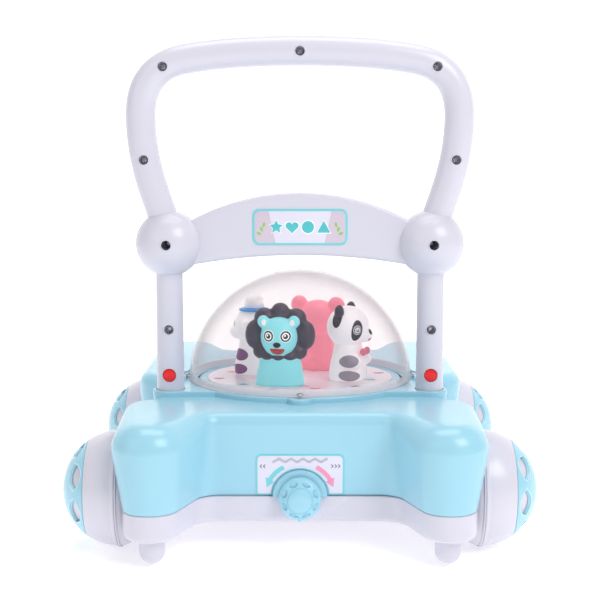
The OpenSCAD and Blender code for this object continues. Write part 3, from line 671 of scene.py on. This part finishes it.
def handle():
    path = [(x, LEG_Y, z) for x, z in loop_path()]
    body = sweep("handle", path, [LOOP_R] * len(path), 48)
    combine(body, handle_core(-1) + handle_core(1) + [arch_panel()], "UNION")
    wide = rectangle(400, 60)
    for name, way in (("rear", -1), ("front", 1)):
        half = bpy.data.objects.new("handle_" + name + "_half", body.data.copy())
        bpy.context.scene.collection.objects.link(half)
        away = [[(x, LEG_Y - way * (30 - 0.12) + y, z) for x, y in wide] for z in (0, 500)]
        tools = [skin("away", away)]
        tools += [rod("bore", 10.3, LEG_BOTTOM - 1, 150, at=(x, LEG_Y, 0), n=48)
                  for x in (-LEG_X, LEG_X)]
        if way < 0:
            tools += [counterbore(x, z) for x, z in at_screws()]
            tools += [rod("hole", BUTTON_R + 0.35, -30, -5, "Y", (x, LEG_Y, BUTTON_Z), 48)
                      for x in (-LEG_X, LEG_X)]
        combine(half, tools)
        piece(half, "handle", LAVENDER, [f"handle_{name}_shell"])
    bpy.data.objects.remove(body)
    for i, (x, z) in enumerate(at_screws()):
        screw = phillips(f"handle_screw_{i}", 3.6, (x, LEG_Y - 3.2, z))
        piece(screw, "handle", STEEL, ["handle_screws"] if i == 0 else ())
        rim = [(4.75 + 0.45 * cos(a), surface_y(x, z) - 0.15 + 0.35 * sin(a)) for a in full_turn(12)]
        ring = lathe(f"screw_rim_{i}", rim, "Y", (x, 0, z), 48, loop=True)
        piece(ring, "handle", LAVENDER)


def counterbore(x, z):
    return rod("counterbore", 4.75, -40, -3.4, "Y", (x, LEG_Y, z), 48)


def surface_y(x, z):
    """The handle's near surface at a screw: on the hub ball, the leg or the loop's tube."""
    if abs(abs(x) - LEG_X) < 1 and abs(z - HUB_Z) < HUB_R:
        return LEG_Y - sqrt(HUB_R ** 2 - 4.75 ** 2)
    if z < HUB_Z:
        return LEG_Y - sqrt(12.4 ** 2 - 4.75 ** 2) - 0.6
    near = min(loop_path(), key=lambda p: (p[0] - x) ** 2 + (p[1] - z) ** 2)
    off = sqrt((near[0] - x) ** 2 + (near[1] - z) ** 2)
    return LEG_Y - sqrt(max(1, LOOP_R ** 2 - off ** 2 - 8))


def handle_plate():
    """Badge on the arch: an aqua border round a pale middle with pink ends and four simple shapes."""
    lo, hi = (Vector(c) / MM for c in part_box("handle_plate"))
    w, h = hi.x - lo.x, hi.z - lo.z
    mid_z = (lo.z + hi.z) / 2
    y = lo.y

    def tier(name, shape, lift, look, nodes=()):
        part = prism(name, shape, y + lift + 0.5, y + lift, "Y", (0, 0, mid_z), 0.25)
        return piece(part, "handle", look, nodes)

    base = prism("plate_base", rounded(rectangle(w, h), 7), hi.y, y + 0.55, "Y", (0, 0, mid_z), 0.5)
    piece(base, "handle", PRINT_AQUA, ["handle_plate"])
    tier("plate_ends", rounded(rectangle(w - 4, h - 4), 5.5), 0.45, PRINT_MAUVE)
    edge = h * 0.5 - 2
    slant = [(w * 0.26, -edge), (w * 0.33, edge), (-w * 0.33, edge), (-w * 0.26, -edge)]
    tier("plate_middle", rounded(slant, 1), 0.35, PRINT_PALE)
    shapes = [star(6.4), heart(6), ellipse(5.6, 5.6), rounded([(6.2, -5.2), (0, 6), (-6.2, -5.2)], 0.8)]
    for i, shape in enumerate(shapes):
        layers = (("edge", 1.18, 0.26, PRINT_WHITE), ("shape", 1, 0.18, PRINT_TEAL))
        for tag, grow, lift, look in layers:
            spread = [(x * grow + (i - 1.5) * 14.5, z * grow) for x, z in shape]
            tier(f"plate_{tag}_{i}", spread, lift, look)
    for side in (-1, 1):
        for k in range(3):
            leaf = [(side * (w * 0.43 - k * 2.2) + x, -h * 0.18 + k * 4 + z)
                    for x, z in spun(lens(2.6, 1.2), radians(side * (30 + 35 * k)))]
            tier(f"plate_leaf_{k}_{'lr'[side > 0]}", leaf, 0.25, PRINT_GREEN)


def buttons():
    """Two red push buttons with softly domed faces, in round openings with light rims."""
    for side, body in ((-1, "left_release"), (1, "right_release")):
        node = body + "_button"
        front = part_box(node)[0][1] / MM
        dish = [(BUTTON_R * sin(a), front + 0.9 - 0.9 * cos(a)) for a in quarter_turn(8)]
        stem = [(BUTTON_R, front + 6), (7.4, front + 6), (7.4, front + 7.6), (2, front + 7.6),
                (2, front + 12), (0, front + 12)]
        cap = lathe(node + "_cap", dish + stem, "Y", (side * LEG_X, 0, BUTTON_Z), 48)
        piece(cap, body, RED, [node])
        lip = [(BUTTON_R + 0.75 + 0.4 * cos(a), surface_y(side * LEG_X, BUTTON_Z) + 0.4 * sin(a))
               for a in full_turn(8)]
        rim = lathe(body + "_rim", lip, "Y", (side * LEG_X, 0, BUTTON_Z), 48, loop=True)
        piece(rim, "handle", LAVENDER)


# ---- wheels ----

def ball_r(x, r=BALL_R):
    return sqrt(max(0, r * r - (x - SEAM_X) ** 2))


def wheel(side, end, body, phase):
    """One wheel: inner half, ridge, outer half and hub cap with lens-shaped windows."""
    where = f"{'front' if end > 0 else 'rear'}_{'right' if side > 0 else 'left'}"
    at = (0, end * AXLE_Y, WHEEL_R)

    def turned(name, profile, n=128):
        return lathe(f"{where}_{name}", [(r, side * x) for r, x in profile], "X", at, n, loop=True)

    face = [(4.1, 0.6), (10, 0.6), (11, 2), (31, 2), (32.5, 0.3), (34, 0)]
    inner = [(r, WHEEL_FACE_X + x) for r, x in face]
    inner += arc((34, SEAM_X), BALL_R - 34, -75, -4, 12)
    inner += [(WHEEL_R - 0.5, SEAM_X - 1.9), (WHEEL_R, SEAM_X - 1.4), (WHEEL_R, SEAM_X - 0.3),
              (WHEEL_R - 0.4, SEAM_X - 0.06), (4.1, SEAM_X - 0.06)]
    piece(turned("inner_half", inner), body, LAVENDER, [where + "_wheel_inner"])
    lid = CAP_X - 0.15
    outer = [(4.1, SEAM_X + 0.06), (WHEEL_R - 0.4, SEAM_X + 0.06), (WHEEL_R, SEAM_X + 0.3),
             (WHEEL_R, SEAM_X + 1.4), (WHEEL_R - 0.5, SEAM_X + 1.9)]
    outer_x = [SEAM_X + 4 + (lid - SEAM_X - 4) * k / 24 for k in range(25)]
    outer += [(ball_r(x), x) for x in outer_x]
    outer += [(ball_r(lid) - 0.6, lid + 0.1), (ball_r(lid) - 1.6, lid - 0.6)]
    seat = BALL_R - WALL - 0.3
    seat_x = [lid - 0.6 + (204 - lid) * k / 12 for k in range(13)]
    outer += [(ball_r(x, seat), x) for x in seat_x if ball_r(x, seat) < ball_r(lid) - 2]
    outer += [(12, SEAM_X + seat * 0.96), (4.1, SEAM_X + seat * 0.96)]
    piece(turned("outer_half", outer), body, LAVENDER, [where + "_wheel_outer"])
    cap = hub_cap(where, side, at, phase)
    piece(cap, body, AQUA, [where + "_hub_cap"])
    for k in range(CAP_WINDOWS):
        rim = window_rim(f"{where}_rim_{k}", side, at, radians(phase) + tau * k / CAP_WINDOWS)
        # The lip's lighter aqua is a painted highlight of the lit window edge.
        piece(rim, body, AQUA_HIGHLIGHT, angle=60)


def hub_cap(where, side, at, phase):
    edge = ball_r(CAP_X)
    outside = [(BALL_R * cos(a), SEAM_X + BALL_R * sin(a)) for a in quarter_turn(40)]
    outside = [(r, x) for r, x in outside if r < edge - 0.2]
    inside = [(r * (BALL_R - WALL) / BALL_R, SEAM_X + (x - SEAM_X) * (BALL_R - WALL) / BALL_R)
              for r, x in outside[::-1]]
    section = [(edge - 0.1, CAP_X + 0.5), *outside, *inside, (edge - WALL, CAP_X), (edge - 0.5, CAP_X)]
    cap = lathe(where + "_cap", [(r, side * x) for r, x in section], "X", at, 128, loop=True)
    tools = []
    for k in range(CAP_WINDOWS):
        a = radians(phase) + tau * k / CAP_WINDOWS
        shape = [window_point(u, v, a) for u, v in lens(12.2, 5.8)]
        tools.append(skin("window", [[(side * x, at[1] - p[0], at[2] + p[1]) for p in shape]
                                     for x in (CAP_X - 6, SEAM_X + BALL_R + 4)]))
    return combine(cap, tools)


def window_point(u, v, a):
    """A window's point u along and v across, on the cap seen along the axle, its centre at angle a."""
    return polar(WINDOW_RHO + v, a + u / WINDOW_RHO)


def window_rim(name, side, at, a):
    """The raised lip round one window, in a lighter aqua that is a painted highlight of the window's
    lit edge.
    """
    path = [(WINDOW_RHO + v, a + u / WINDOW_RHO) for u, v in lens(12.6, 6.1, 16)]
    rings = []
    for i, (rho, turn) in enumerate(path):
        x = SEAM_X + sqrt((BALL_R - 0.15) ** 2 - rho ** 2)
        p = Vector((side * x, at[1] - rho * cos(turn), at[2] + rho * sin(turn)))
        centre = Vector((side * SEAM_X, at[1], at[2]))
        out = (p - centre).normalized()
        r0, t0 = path[i - 1]
        r1, t1 = path[(i + 1) % len(path)]
        ahead = Vector((0, r0 * cos(t0) - r1 * cos(t1), r1 * sin(t1) - r0 * sin(t0))).normalized()
        across = out.cross(ahead).normalized()
        rings.append([p + out * (0.3 * sin(b)) + across * (0.55 * cos(b)) for b in full_turn(8)])
    return skin(name, rings, loop=True)


# ---- dome and turntable ----

def dome():
    low = sqrt(DOME_R ** 2 - (PLATEAU_Z + 0.05 - DOME_Z) ** 2)
    first = atan2(PLATEAU_Z + 0.05 - DOME_Z, low)
    turns = [first + (pi / 2 - first) * k / 56 for k in range(57)]
    outside = [(DOME_R * cos(a), DOME_Z + DOME_R * sin(a)) for a in turns]
    dome_body = lathe("dome_clear", [(0, PLATEAU_Z + 0.05), *outside], n=192)
    spots = [polar(DOME_R + 3, a) for a in LUG_TURNS]
    rim = [(12.6 - 0.7 * (1 - cos(a)), PLATEAU_Z + 2.1 + 0.7 * sin(a)) for a in (0, 0.5, 1, 1.5)]
    lugs = [lathe("lug", [(0, PLATEAU_Z + 0.05), (12.6, PLATEAU_Z + 0.05), *rim, (0, PLATEAU_Z + 2.8)],
                  at=(*polar(LUG_RHO, a), 0), n=64) for a in LUG_TURNS]
    combine(dome_body, lugs, "UNION")
    r = DOME_R - DOME_T
    bore = [(r * cos(pi / 2 * k / 56), DOME_Z + r * sin(pi / 2 * k / 56)) for k in range(57)]
    holes = [lathe("bore", [(0, 110), (r, 110), *bore], n=192)]
    holes += [rod("hole", 1.7, 120, 140, at=(x, y, 0), n=24) for x, y in spots]
    combine(dome_body, holes)
    piece(dome_body, "chassis", CLEAR, ["dome"])
    ring = [(24 + 0.5 * cos(a), sqrt(DOME_R ** 2 - 576) + DOME_Z + 0.35 * sin(a))
            for a in full_turn(8)]
    piece(lathe("dome_gate_ring", ring, n=96, loop=True), "chassis", CLEAR)
    gate = [(0, DOME_Z + DOME_R - 0.4), (2.6, DOME_Z + DOME_R - 0.5), (2.2, DOME_Z + DOME_R + 0.4),
            (1.4, DOME_Z + DOME_R + 0.7), (0, DOME_Z + DOME_R + 0.6)]
    piece(lathe("dome_gate", gate, n=32), "chassis", CLEAR_BAND)
    band = [(r - 0.1, PLATEAU_Z + 0.1), (r - 0.1, PLATEAU_Z + 7), (r - 0.6, PLATEAU_Z + 7.4),
            (r - 1.2, PLATEAU_Z + 7), (r - 1.2, PLATEAU_Z + 0.1)]
    band = [(min(x, sqrt(r ** 2 - (z - DOME_Z) ** 2) - 0.08), z) for x, z in band]
    piece(lathe("dome_band", band, n=192, loop=True), "chassis", CLEAR_BAND)
    for i, (x, y) in enumerate(spots):
        screw = phillips(f"dome_screw_{i}", 3.2, (x, y, PLATEAU_Z + 2.8), "Z", 1)
        piece(screw, "chassis", STEEL, ["dome_screws"] if i == 0 else ())


def turntable():
    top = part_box("turntable_disc")[1][2] / MM
    disc = [(0, top - 3), (DISC_R - 0.8, top - 3), (DISC_R, top - 2.4), (DISC_R, top - 0.8),
            (DISC_R - 0.3, top - 0.25), (DISC_R - 0.9, top), (SHEET_R + 0.6, top),
            (SHEET_R + 0.3, top - 0.2), (0, top - 0.2)]
    piece(lathe("turntable_plate", disc, n=160), "turntable", AQUA, ["turntable_disc"])
    sheet = [(0, top - 0.1), (SHEET_R, top - 0.1), (SHEET_R, top + 0.2), (SHEET_R - 0.3, top + 0.4),
             (0, top + 0.4)]
    print_disc = lathe("turntable_print", sheet, n=160)
    piece(print_disc, "turntable", SHEET, ["turntable_sheet"])
    inks = [PRINT_BROWN, CORAL, PRINT_BROWN, PRINT_TEAL]
    for k in range(12):
        x, y = polar(72 if k % 2 else 80, tau * k / 12 + 0.2)
        shape = heart(5.5) if k % 3 == 0 else star(6.5, 5, 0.55)
        mark = prism(f"table_mark_{k}", shape, top + 0.3, top + 0.46, "Z", (x, y, 0))
        piece(mark, "turntable", inks[k % 4])


def ball(f, s, z, rf, rs=None, rz=None):
    """A ball or ellipsoid whose centre is f forward of, s beside and z above a figure's foot point."""
    rs, rz = rs or rf, rz or rf
    turns = [pi * k / 20 - pi / 2 for k in range(21)]
    rings = [[(f + rf * cos(a) * cos(b), s + rs * cos(a) * sin(b), z + rz * sin(a))
              for b in full_turn(32)] for a in turns]
    return skin("ball", rings)


def pair(f, s, z, rf, rs, rz):
    """Two balls, at s and -s."""
    return [ball(f, s, z, rf, rs, rz), ball(f, -s, z, rf, rs, rz)]


def trunk(levels, n=48):
    """A figure's body through levels of (height, half depth, half width), with soft square sections."""
    return skin("trunk", [[(df * squared(cos(a), 0.8), ds * squared(sin(a), 0.8), z)
                           for a in full_turn(n)] for z, df, ds in levels])


def melted(name, parts, voxel=1.1, soften=8):
    """Parts fused into one soft moulded form."""
    obj = join(parts[0], parts[1:])
    obj.name = name
    fuse = obj.modifiers.new("fuse", "REMESH")
    fuse.mode = "VOXEL"
    fuse.voxel_size = voxel * MM
    calm = obj.modifiers.new("calm", "SMOOTH")
    calm.factor = 0.5
    calm.iterations = soften
    return bake(obj)


def eye(name, head, f, s, z, facing, ring):
    """Painted eye: white and black rings, a black pupil and a white glint."""
    layers = [(ring, BRIGHT), (ring * 0.88, BLACK), (ring * 0.62, BRIGHT), (ring * 0.4, BLACK)]
    at = (f, s, z)
    marks = [(patch(f"{name}_{i}", head, ellipse(r * 0.92, r), at, facing, lift=0.2 + 0.2 * i), look)
             for i, (r, look) in enumerate(layers)]
    glint = patch(f"{name}_glint", head, ellipse(ring * 0.14, ring * 0.18, 16),
                  (f, s - ring * 0.1, z + ring * 0.12), facing, lift=1.0)
    return marks + [(glint, BRIGHT)]


def smile(half, drop):
    """An open mouth: a flat top and a deep round bottom."""
    bottom = [(half * cos(a), -drop * sin(a) ** 0.8) for a in [pi * k / 20 for k in range(1, 20)]]
    return [(half, 0), *bottom, (-half, 0), (0, drop * 0.06)]


def lion():
    body = melted("lion_body", [trunk([(0, 15, 22.6), (0.8, 15.6, 23.4), (10, 15, 22), (20, 13.4, 20),
                                       (27, 12.5, 19), (33, 10, 16), (36, 5, 9)]),
                                ball(6, 0, 46, 15, 17.6, 19), *pair(9, 14.5, 60.5, 4.6, 5.8, 6.2),
                                ball(14, 0, 38, 7, 9, 7)])
    mane = melted("lion_mane", [ball(-2, 0, 47, 13, 24, 24), *pair(-1, 25, 47, 10.5, 8.5, 13.5),
                                *pair(-1, 15, 63, 9, 10, 9.5), ball(-1, 0, 70, 8.5, 8.5, 7.5),
                                *pair(0, 15, 31, 9, 11, 8), ball(5, 0, 27, 9, 9, 6),
                                *pair(3, 9, 27.5, 10, 9, 6.5)])
    out = (1, 0, 0)
    marks = eye("lion_eye_l", body, 20, 7.9, 48, out, 5.6)
    marks += eye("lion_eye_r", body, 20, -7.9, 48, out, 5.6)
    marks += [(patch("lion_nose", body, ellipse(3.6, 2.5), (20, 0, 40), out, lift=0.3), BLACK),
              (patch("lion_mouth", body, smile(6.6, 6), (20, 0, 36.5), out, lift=0.3), SCARLET),
              (patch("lion_ear_l", body, ellipse(2.2, 3), (20, 13.4, 60), out), WHITE),
              (patch("lion_ear_r", body, ellipse(2.2, 3), (20, -13.4, 60), out), WHITE)]
    return [(body, TEAL), (mane, MANE)] + marks


def standing(name, head, extra):
    """A standing body with a round head, and whatever else has the same colour."""
    stand = trunk([(0, 16, 19.5), (0.8, 16.6, 20.2), (8, 17, 20), (18, 15.5, 18.5), (27, 13.5, 16),
                   (33, 12.5, 15), (40, 8, 10)])
    return melted(name, [stand, head] + extra)


def limbs(name, body, look):
    """Painted arm and leg ovals on both sides of a standing figure."""
    marks = []
    for tag, side in SIDES:
        arm, leg = ellipse(9.6, 5.6, turn=-6 * side), ellipse(10, 5, turn=4 * side)
        out = (0.25, side, 0)
        marks.append((patch(f"{name}_arm_{tag}", body, arm, (3, 0, 20), out), look))
        marks.append((patch(f"{name}_leg_{tag}", body, leg, (3, 0, 6), out), look))
    return marks


def panda():
    body = standing("panda_body", ball(0, 0, 51, 20.5, 21.5, 20.5),
                    [ball(17, 0, 44, 7, 9, 7), *pair(10, 14, 19, 9, 9, 7)])
    ears = melted("panda_ears", pair(-3, 16.5, 66.5, 4.5, 6.5, 7.5))
    marks = limbs("panda", body, GREY)
    for tag, side in SIDES:
        look_at = (0.72, side * 0.7, 0)
        marks.append((patch(f"panda_patch_{tag}", body, ellipse(5.8, 10, turn=8 * side),
                            (14, side * 14, 49.5), look_at, lift=0.1), PRINT_DARK))
        marks += eye(f"panda_eye_{tag}", body, 14, side * 14, 50, look_at, 4.4)
        marks.append((patch(f"panda_ear_{tag}", body, ellipse(5, 8.6), (-4, side * 14, 60),
                            (-0.1, side, 0.1), lift=0.3), PRINT_DARK))
    marks += [(patch("panda_nose", body, ellipse(3.4, 2.6), (24, 0, 47), (1, 0, 0), lift=0.3), BLACK),
              (patch("panda_mouth", body, smile(3.6, 2.6), (24, 0, 41), (1, 0, 0), lift=0.3), SCARLET)]
    bow = melted("panda_bow", pair(17.5, 5.5, 28, 3, 4.6, 3.8) + [ball(18.5, 0, 28, 2.6, 2.6, 2.6)],
                 0.7, 3)
    return [(body, WHITE), (ears, PRINT_DARK)] + marks + [(bow, CORAL)]


def pig():
    body = standing("pig_body", ball(0, 0, 50, 19.5, 21.5, 20),
                    [*pair(-2, 20, 65, 6.5, 9, 9), ball(19, 0, 46, 6, 8, 6), ball(-17, 0, 12, 4, 4, 4)])
    marks = limbs("pig", body, CORAL)
    for tag, side in SIDES:
        marks += eye(f"pig_eye_{tag}", body, 16, side * 9, 54, (1, side * 0.4, 0), 3.4)
        marks.append((patch(f"pig_nostril_{tag}", body, ellipse(1.1, 1.8, 16), (26, side * 2.8, 46),
                            (1, 0, 0), lift=0.25), CORAL))
    return [(body, PINK)] + marks


def calf():
    body = standing("calf_body", ball(0, 0, 48, 18.5, 20, 19),
                    [ball(15, 0, 41, 9, 12, 8), *pair(-1, 20, 52, 4, 7, 4)])
    hat = melted("calf_hat", [ball(-1, 0, 68, 10, 11, 6), *pair(-1, 8, 72, 6, 6, 6),
                              ball(-1, 0, 74, 7, 8, 5)])
    brim = melted("calf_brim", [ball(-1, 0, 63.5, 15.5, 16.5, 2.4)], 0.9, 3)
    marks = limbs("calf", body, PURPLE)
    for tag, side in SIDES:
        marks += eye(f"calf_eye_{tag}", body, 14, side * 10, 50, (0.8, side * 0.6, 0), 3.6)
        marks.append((patch(f"calf_nostril_{tag}", body, ellipse(1.4, 1.8, 16), (26, side * 5, 43),
                            (1, 0, 0), lift=0.25), PURPLE))
    return [(body, WHITE), (hat, WHITE), (brim, BLUE)] + marks


def figures():
    cast = [(lion, "lion_figure", -112, 14, "teal_vinyl"),
            (panda, "panda_figure", -22, 0, "white_vinyl"),
            (pig, "pig_figure", 68, 0, "pink_vinyl"),
            (calf, "hippo_figure", 158, 0, "white_vinyl")]
    for build, node, angle, turn, slot in cast:
        place = Matrix.Translation((RING_R * MM, 0, TABLE_Z * MM))
        move = Matrix.Rotation(radians(angle), 4, "Z") @ place @ Matrix.Rotation(radians(turn), 4, "Z")
        for i, (obj, look) in enumerate(build()):
            obj.data.transform(move)
            piece(obj, "turntable", look, [node] if i == 0 else (), 60)


# ---- speed control ----

def knob():
    """Speed knob: a flat rim with eight long dimples round a raised dome, and a nib at its foot."""
    y = BOSS_Y
    profile = [(0, y - 0.5), (KNOB_R - 0.5, y - 0.5), (KNOB_R, y - 1), (KNOB_R, y - 6.6),
               (KNOB_R - 0.5, y - 7.5)]
    steps = [(0.87, 9), (0.82, 9.7), (0.68, 11.9), (0.62, 12.3), (0.59, 12.2), (0.575, 12.5),
             (0.56, 13.6), (0.53, 14.8), (0.42, 15.8), (0.26, 16.3), (0, 16.5)]
    profile += [(part * KNOB_R, y - out) for part, out in steps]
    body = lathe("speed_dial", profile, "Y", (0, 0, PART_Z), 96)
    dents = []
    for k in range(8):
        dent = [(0.77 * KNOB_R + v, u) for u, v in lens(0.21 * KNOB_R, 0.11 * KNOB_R)]
        dent = spun(dent, tau * (k + 0.5) / 8)
        rings = [[(x, depth, PART_Z + z) for x, z in dent] for depth in (y - 8.8, y - 16)]
        dents.append(skin("dent", rings))
    combine(body, dents)
    nib = melted("nib", [ball(0, y - 8, PART_Z - KNOB_R + 2.4, 2.3, 2.4, 4.2)], 0.5, 2)
    combine(body, [nib], "UNION")
    piece(body, "speed_knob", AQUA, ["speed_knob"])


def label():
    """Speed label: a teal border, a pale face, a curved arrow either way and speed chevrons."""
    lo, hi = (Vector(c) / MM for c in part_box("speed_label"))
    tilt = atan2(FLARE, DECK_Z - SHOULDER_R - PART_Z)
    half, top = (hi.x - lo.x) / 2, (hi.z - PART_Z) / cos(tilt) - 0.2
    frame_of = Matrix(((1, 0, 0, 0), (0, -sin(tilt), -cos(tilt), -MID_Y * MM),
                       (0, cos(tilt), -sin(tilt), PART_Z * MM), (0, 0, 0, 1)))

    def tier(name, shape, h, look, nodes=()):
        part = prism(name, shape, 0, h, "Z", ease=0.15)
        part.data.transform(frame_of)
        return piece(part, "chassis", look, nodes)

    def face(inset, notch):
        side, low = half - inset, 0.8 + inset
        a = degrees(atan2(low, sqrt(notch ** 2 - low ** 2)))
        corner = max(1.5, 5 - inset)
        crown = arc((side - corner, top - inset - corner), corner, 0, 90, 8)
        crown += [(-x, v) for x, v in crown[::-1]]
        return [(side, low)] + crown + [(-side, low)] + arc((0, 0), notch, 180 - a, a, 40)

    tier("label_border", face(0, BOSS_R + 0.9), 0.4, PRINT_AQUA, ["speed_label"])
    tier("label_face", face(1.3, BOSS_R + 1.9), 0.48, PRINT_PALE)
    inner, outer = BOSS_R + 4.4, BOSS_R + 8.4
    for side, look in ((-1, PRINT_AQUA), (1, PRINT_PINK)):
        band = arc((0, 0), outer, 62, 30, 16)
        head = ((outer + 2.4, 30), ((inner + outer) / 2, 15), (inner - 2, 30))
        band += [polar(r, radians(a)) for r, a in head]
        band += arc((0, 0), inner, 30, 62, 16)
        tier(f"label_arrow_{'lr'[side > 0]}", [(side * x, v) for x, v in band], 0.56, look)
        for k in range(2 if side < 0 else 3):
            x, v = half - 5.6 - 3 * k, top * 0.72
            mark = [(0, -1.6), (1.5, 0), (0, 1.6), (0.9, 1.6), (2.4, 0), (0.9, -1.6)]
            mark = [(side * (x + dx), v + dv) for dx, dv in mark]
            tier(f"label_chevron_{'lr'[side > 0]}_{k}", mark, 0.56, PRINT_DARK)
    wave = [(x, top * 0.86 + 1.3 * sin(x * 0.6)) for x in range(-24, 25)]
    bands = (("label_wave", 1.3, 0.56, PRINT_PINK), ("label_wave_core", 0.7, 0.62, PRINT_AQUA))
    for name, thick, lift, look in bands:
        outline = [(x, v + thick) for x, v in wave] + [(x, v - thick) for x, v in wave[::-1]]
        tier(name, outline, lift, look)


# ---- the CAD nodes that stay, the setting and the run ----

def dress_cad_nodes():
    """Materials for the working parts that the frame already shows in the right shape."""
    looks = ((STEEL, ["shell_screws", "left_button_spring", "right_button_spring", "rear_axle",
                      "rear_washers", "brake_sleeve", "front_axle", "front_washers", "drive_shaft",
                      "turntable_spindle", "knob_screw"]),
             (NYLON, ["rear_axle_bushes", "front_axle_bushes", "spindle_tower", "drive_shaft_bearings",
                      "axle_face_gear", "axle_pinion", "table_pinion", "turntable_face_gear",
                      "brake_shoe"]),
             (RUBBER, ["brake_pad"]))
    for look, nodes in looks:
        for node in nodes:
            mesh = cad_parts[node].data
            mesh.materials.clear()
            mesh.materials.append(look)


def setting():
    """Pale floor that curves up into a backdrop, soft lights and the camera."""
    floor = Nodes("studio_floor")
    shift = floor.ranged(floor.noise(2), 0, 1)
    tone = floor.mixed(shift, (0.93, 0.93, 0.93, 1), (0.96, 0.96, 0.96, 1))
    floor.link(tone, floor.bsdf.inputs["Base Color"])
    floor.set(Roughness=0.9, Emission_Color=(1, 1, 1, 1), Emission_Strength=FLOOR_GLOW)
    turns = [(y, 0) for y in (-7000, -2600, -600, 0, 600, 1400)]
    turns += [(1400 + 900 * sin(a), 900 - 900 * cos(a)) for a in quarter_turn(16)[1:]]
    turns += [(2300, 2600)]
    points = [(x, y, z - 0.2) for y, z in turns for x in (-7000, 7000)]
    faces = [(2 * i, 2 * i + 1, 2 * i + 3, 2 * i + 2) for i in range(len(turns) - 1)]
    stage = solid("studio_sweep", points, faces)
    stage.data.shade_smooth()
    stage.data.materials.append(floor.material)

    world = bpy.data.worlds.new("soft_white")
    world.use_nodes = True
    world.node_tree.nodes["Background"].inputs["Color"].default_value = (1, 1, 1, 1)
    world.node_tree.nodes["Background"].inputs["Strength"].default_value = WORLD_LIGHT
    bpy.context.scene.world = world
    lamps = [("key", (1.3, -1.5, 1.9), (0, 0, 0.2), 1.3, 1.3, KEY_WATTS),
             ("fill", (-1.6, -1.3, 1.2), (0, 0, 0.2), 1.2, 1.6, FILL_WATTS),
             ("top", (0, 0.2, 2.2), (0, 0, 0.1), 1.6, 1.2, TOP_WATTS)]
    for name, at, to, width, height, watts in lamps:
        light = bpy.data.lights.new(name, "AREA")
        light.shape = "RECTANGLE"
        light.size, light.size_y, light.energy = width, height, watts
        lamp = bpy.data.objects.new(name, light)
        lamp.location = at
        lamp.rotation_euler = (Vector(to) - Vector(at)).to_track_quat("-Z", "Y").to_euler()
        bpy.context.scene.collection.objects.link(lamp)

    view = bpy.data.cameras.new("camera")
    view.lens, view.sensor_width = CAMERA_LENS, 36
    camera = bpy.data.objects.new("camera", view)
    camera.location = CAMERA_AT
    camera.rotation_euler = (radians(90 - CAMERA_DOWN), 0, 0)
    bpy.context.scene.collection.objects.link(camera)
    bpy.context.scene.camera = camera
    bpy.context.scene.view_settings.view_transform = "Standard"


setting()
upper_shell()
lower_tray()
feet()
handle()
handle_plate()
buttons()
for side in (-1, 1):
    wheel(side, -1, "rear_wheels", 29 if side < 0 else 43)
    wheel(side, 1, "front_wheels", 24 if side < 0 else 30)
dome()
turntable()
figures()
knob()
label()
dress_cad_nodes()
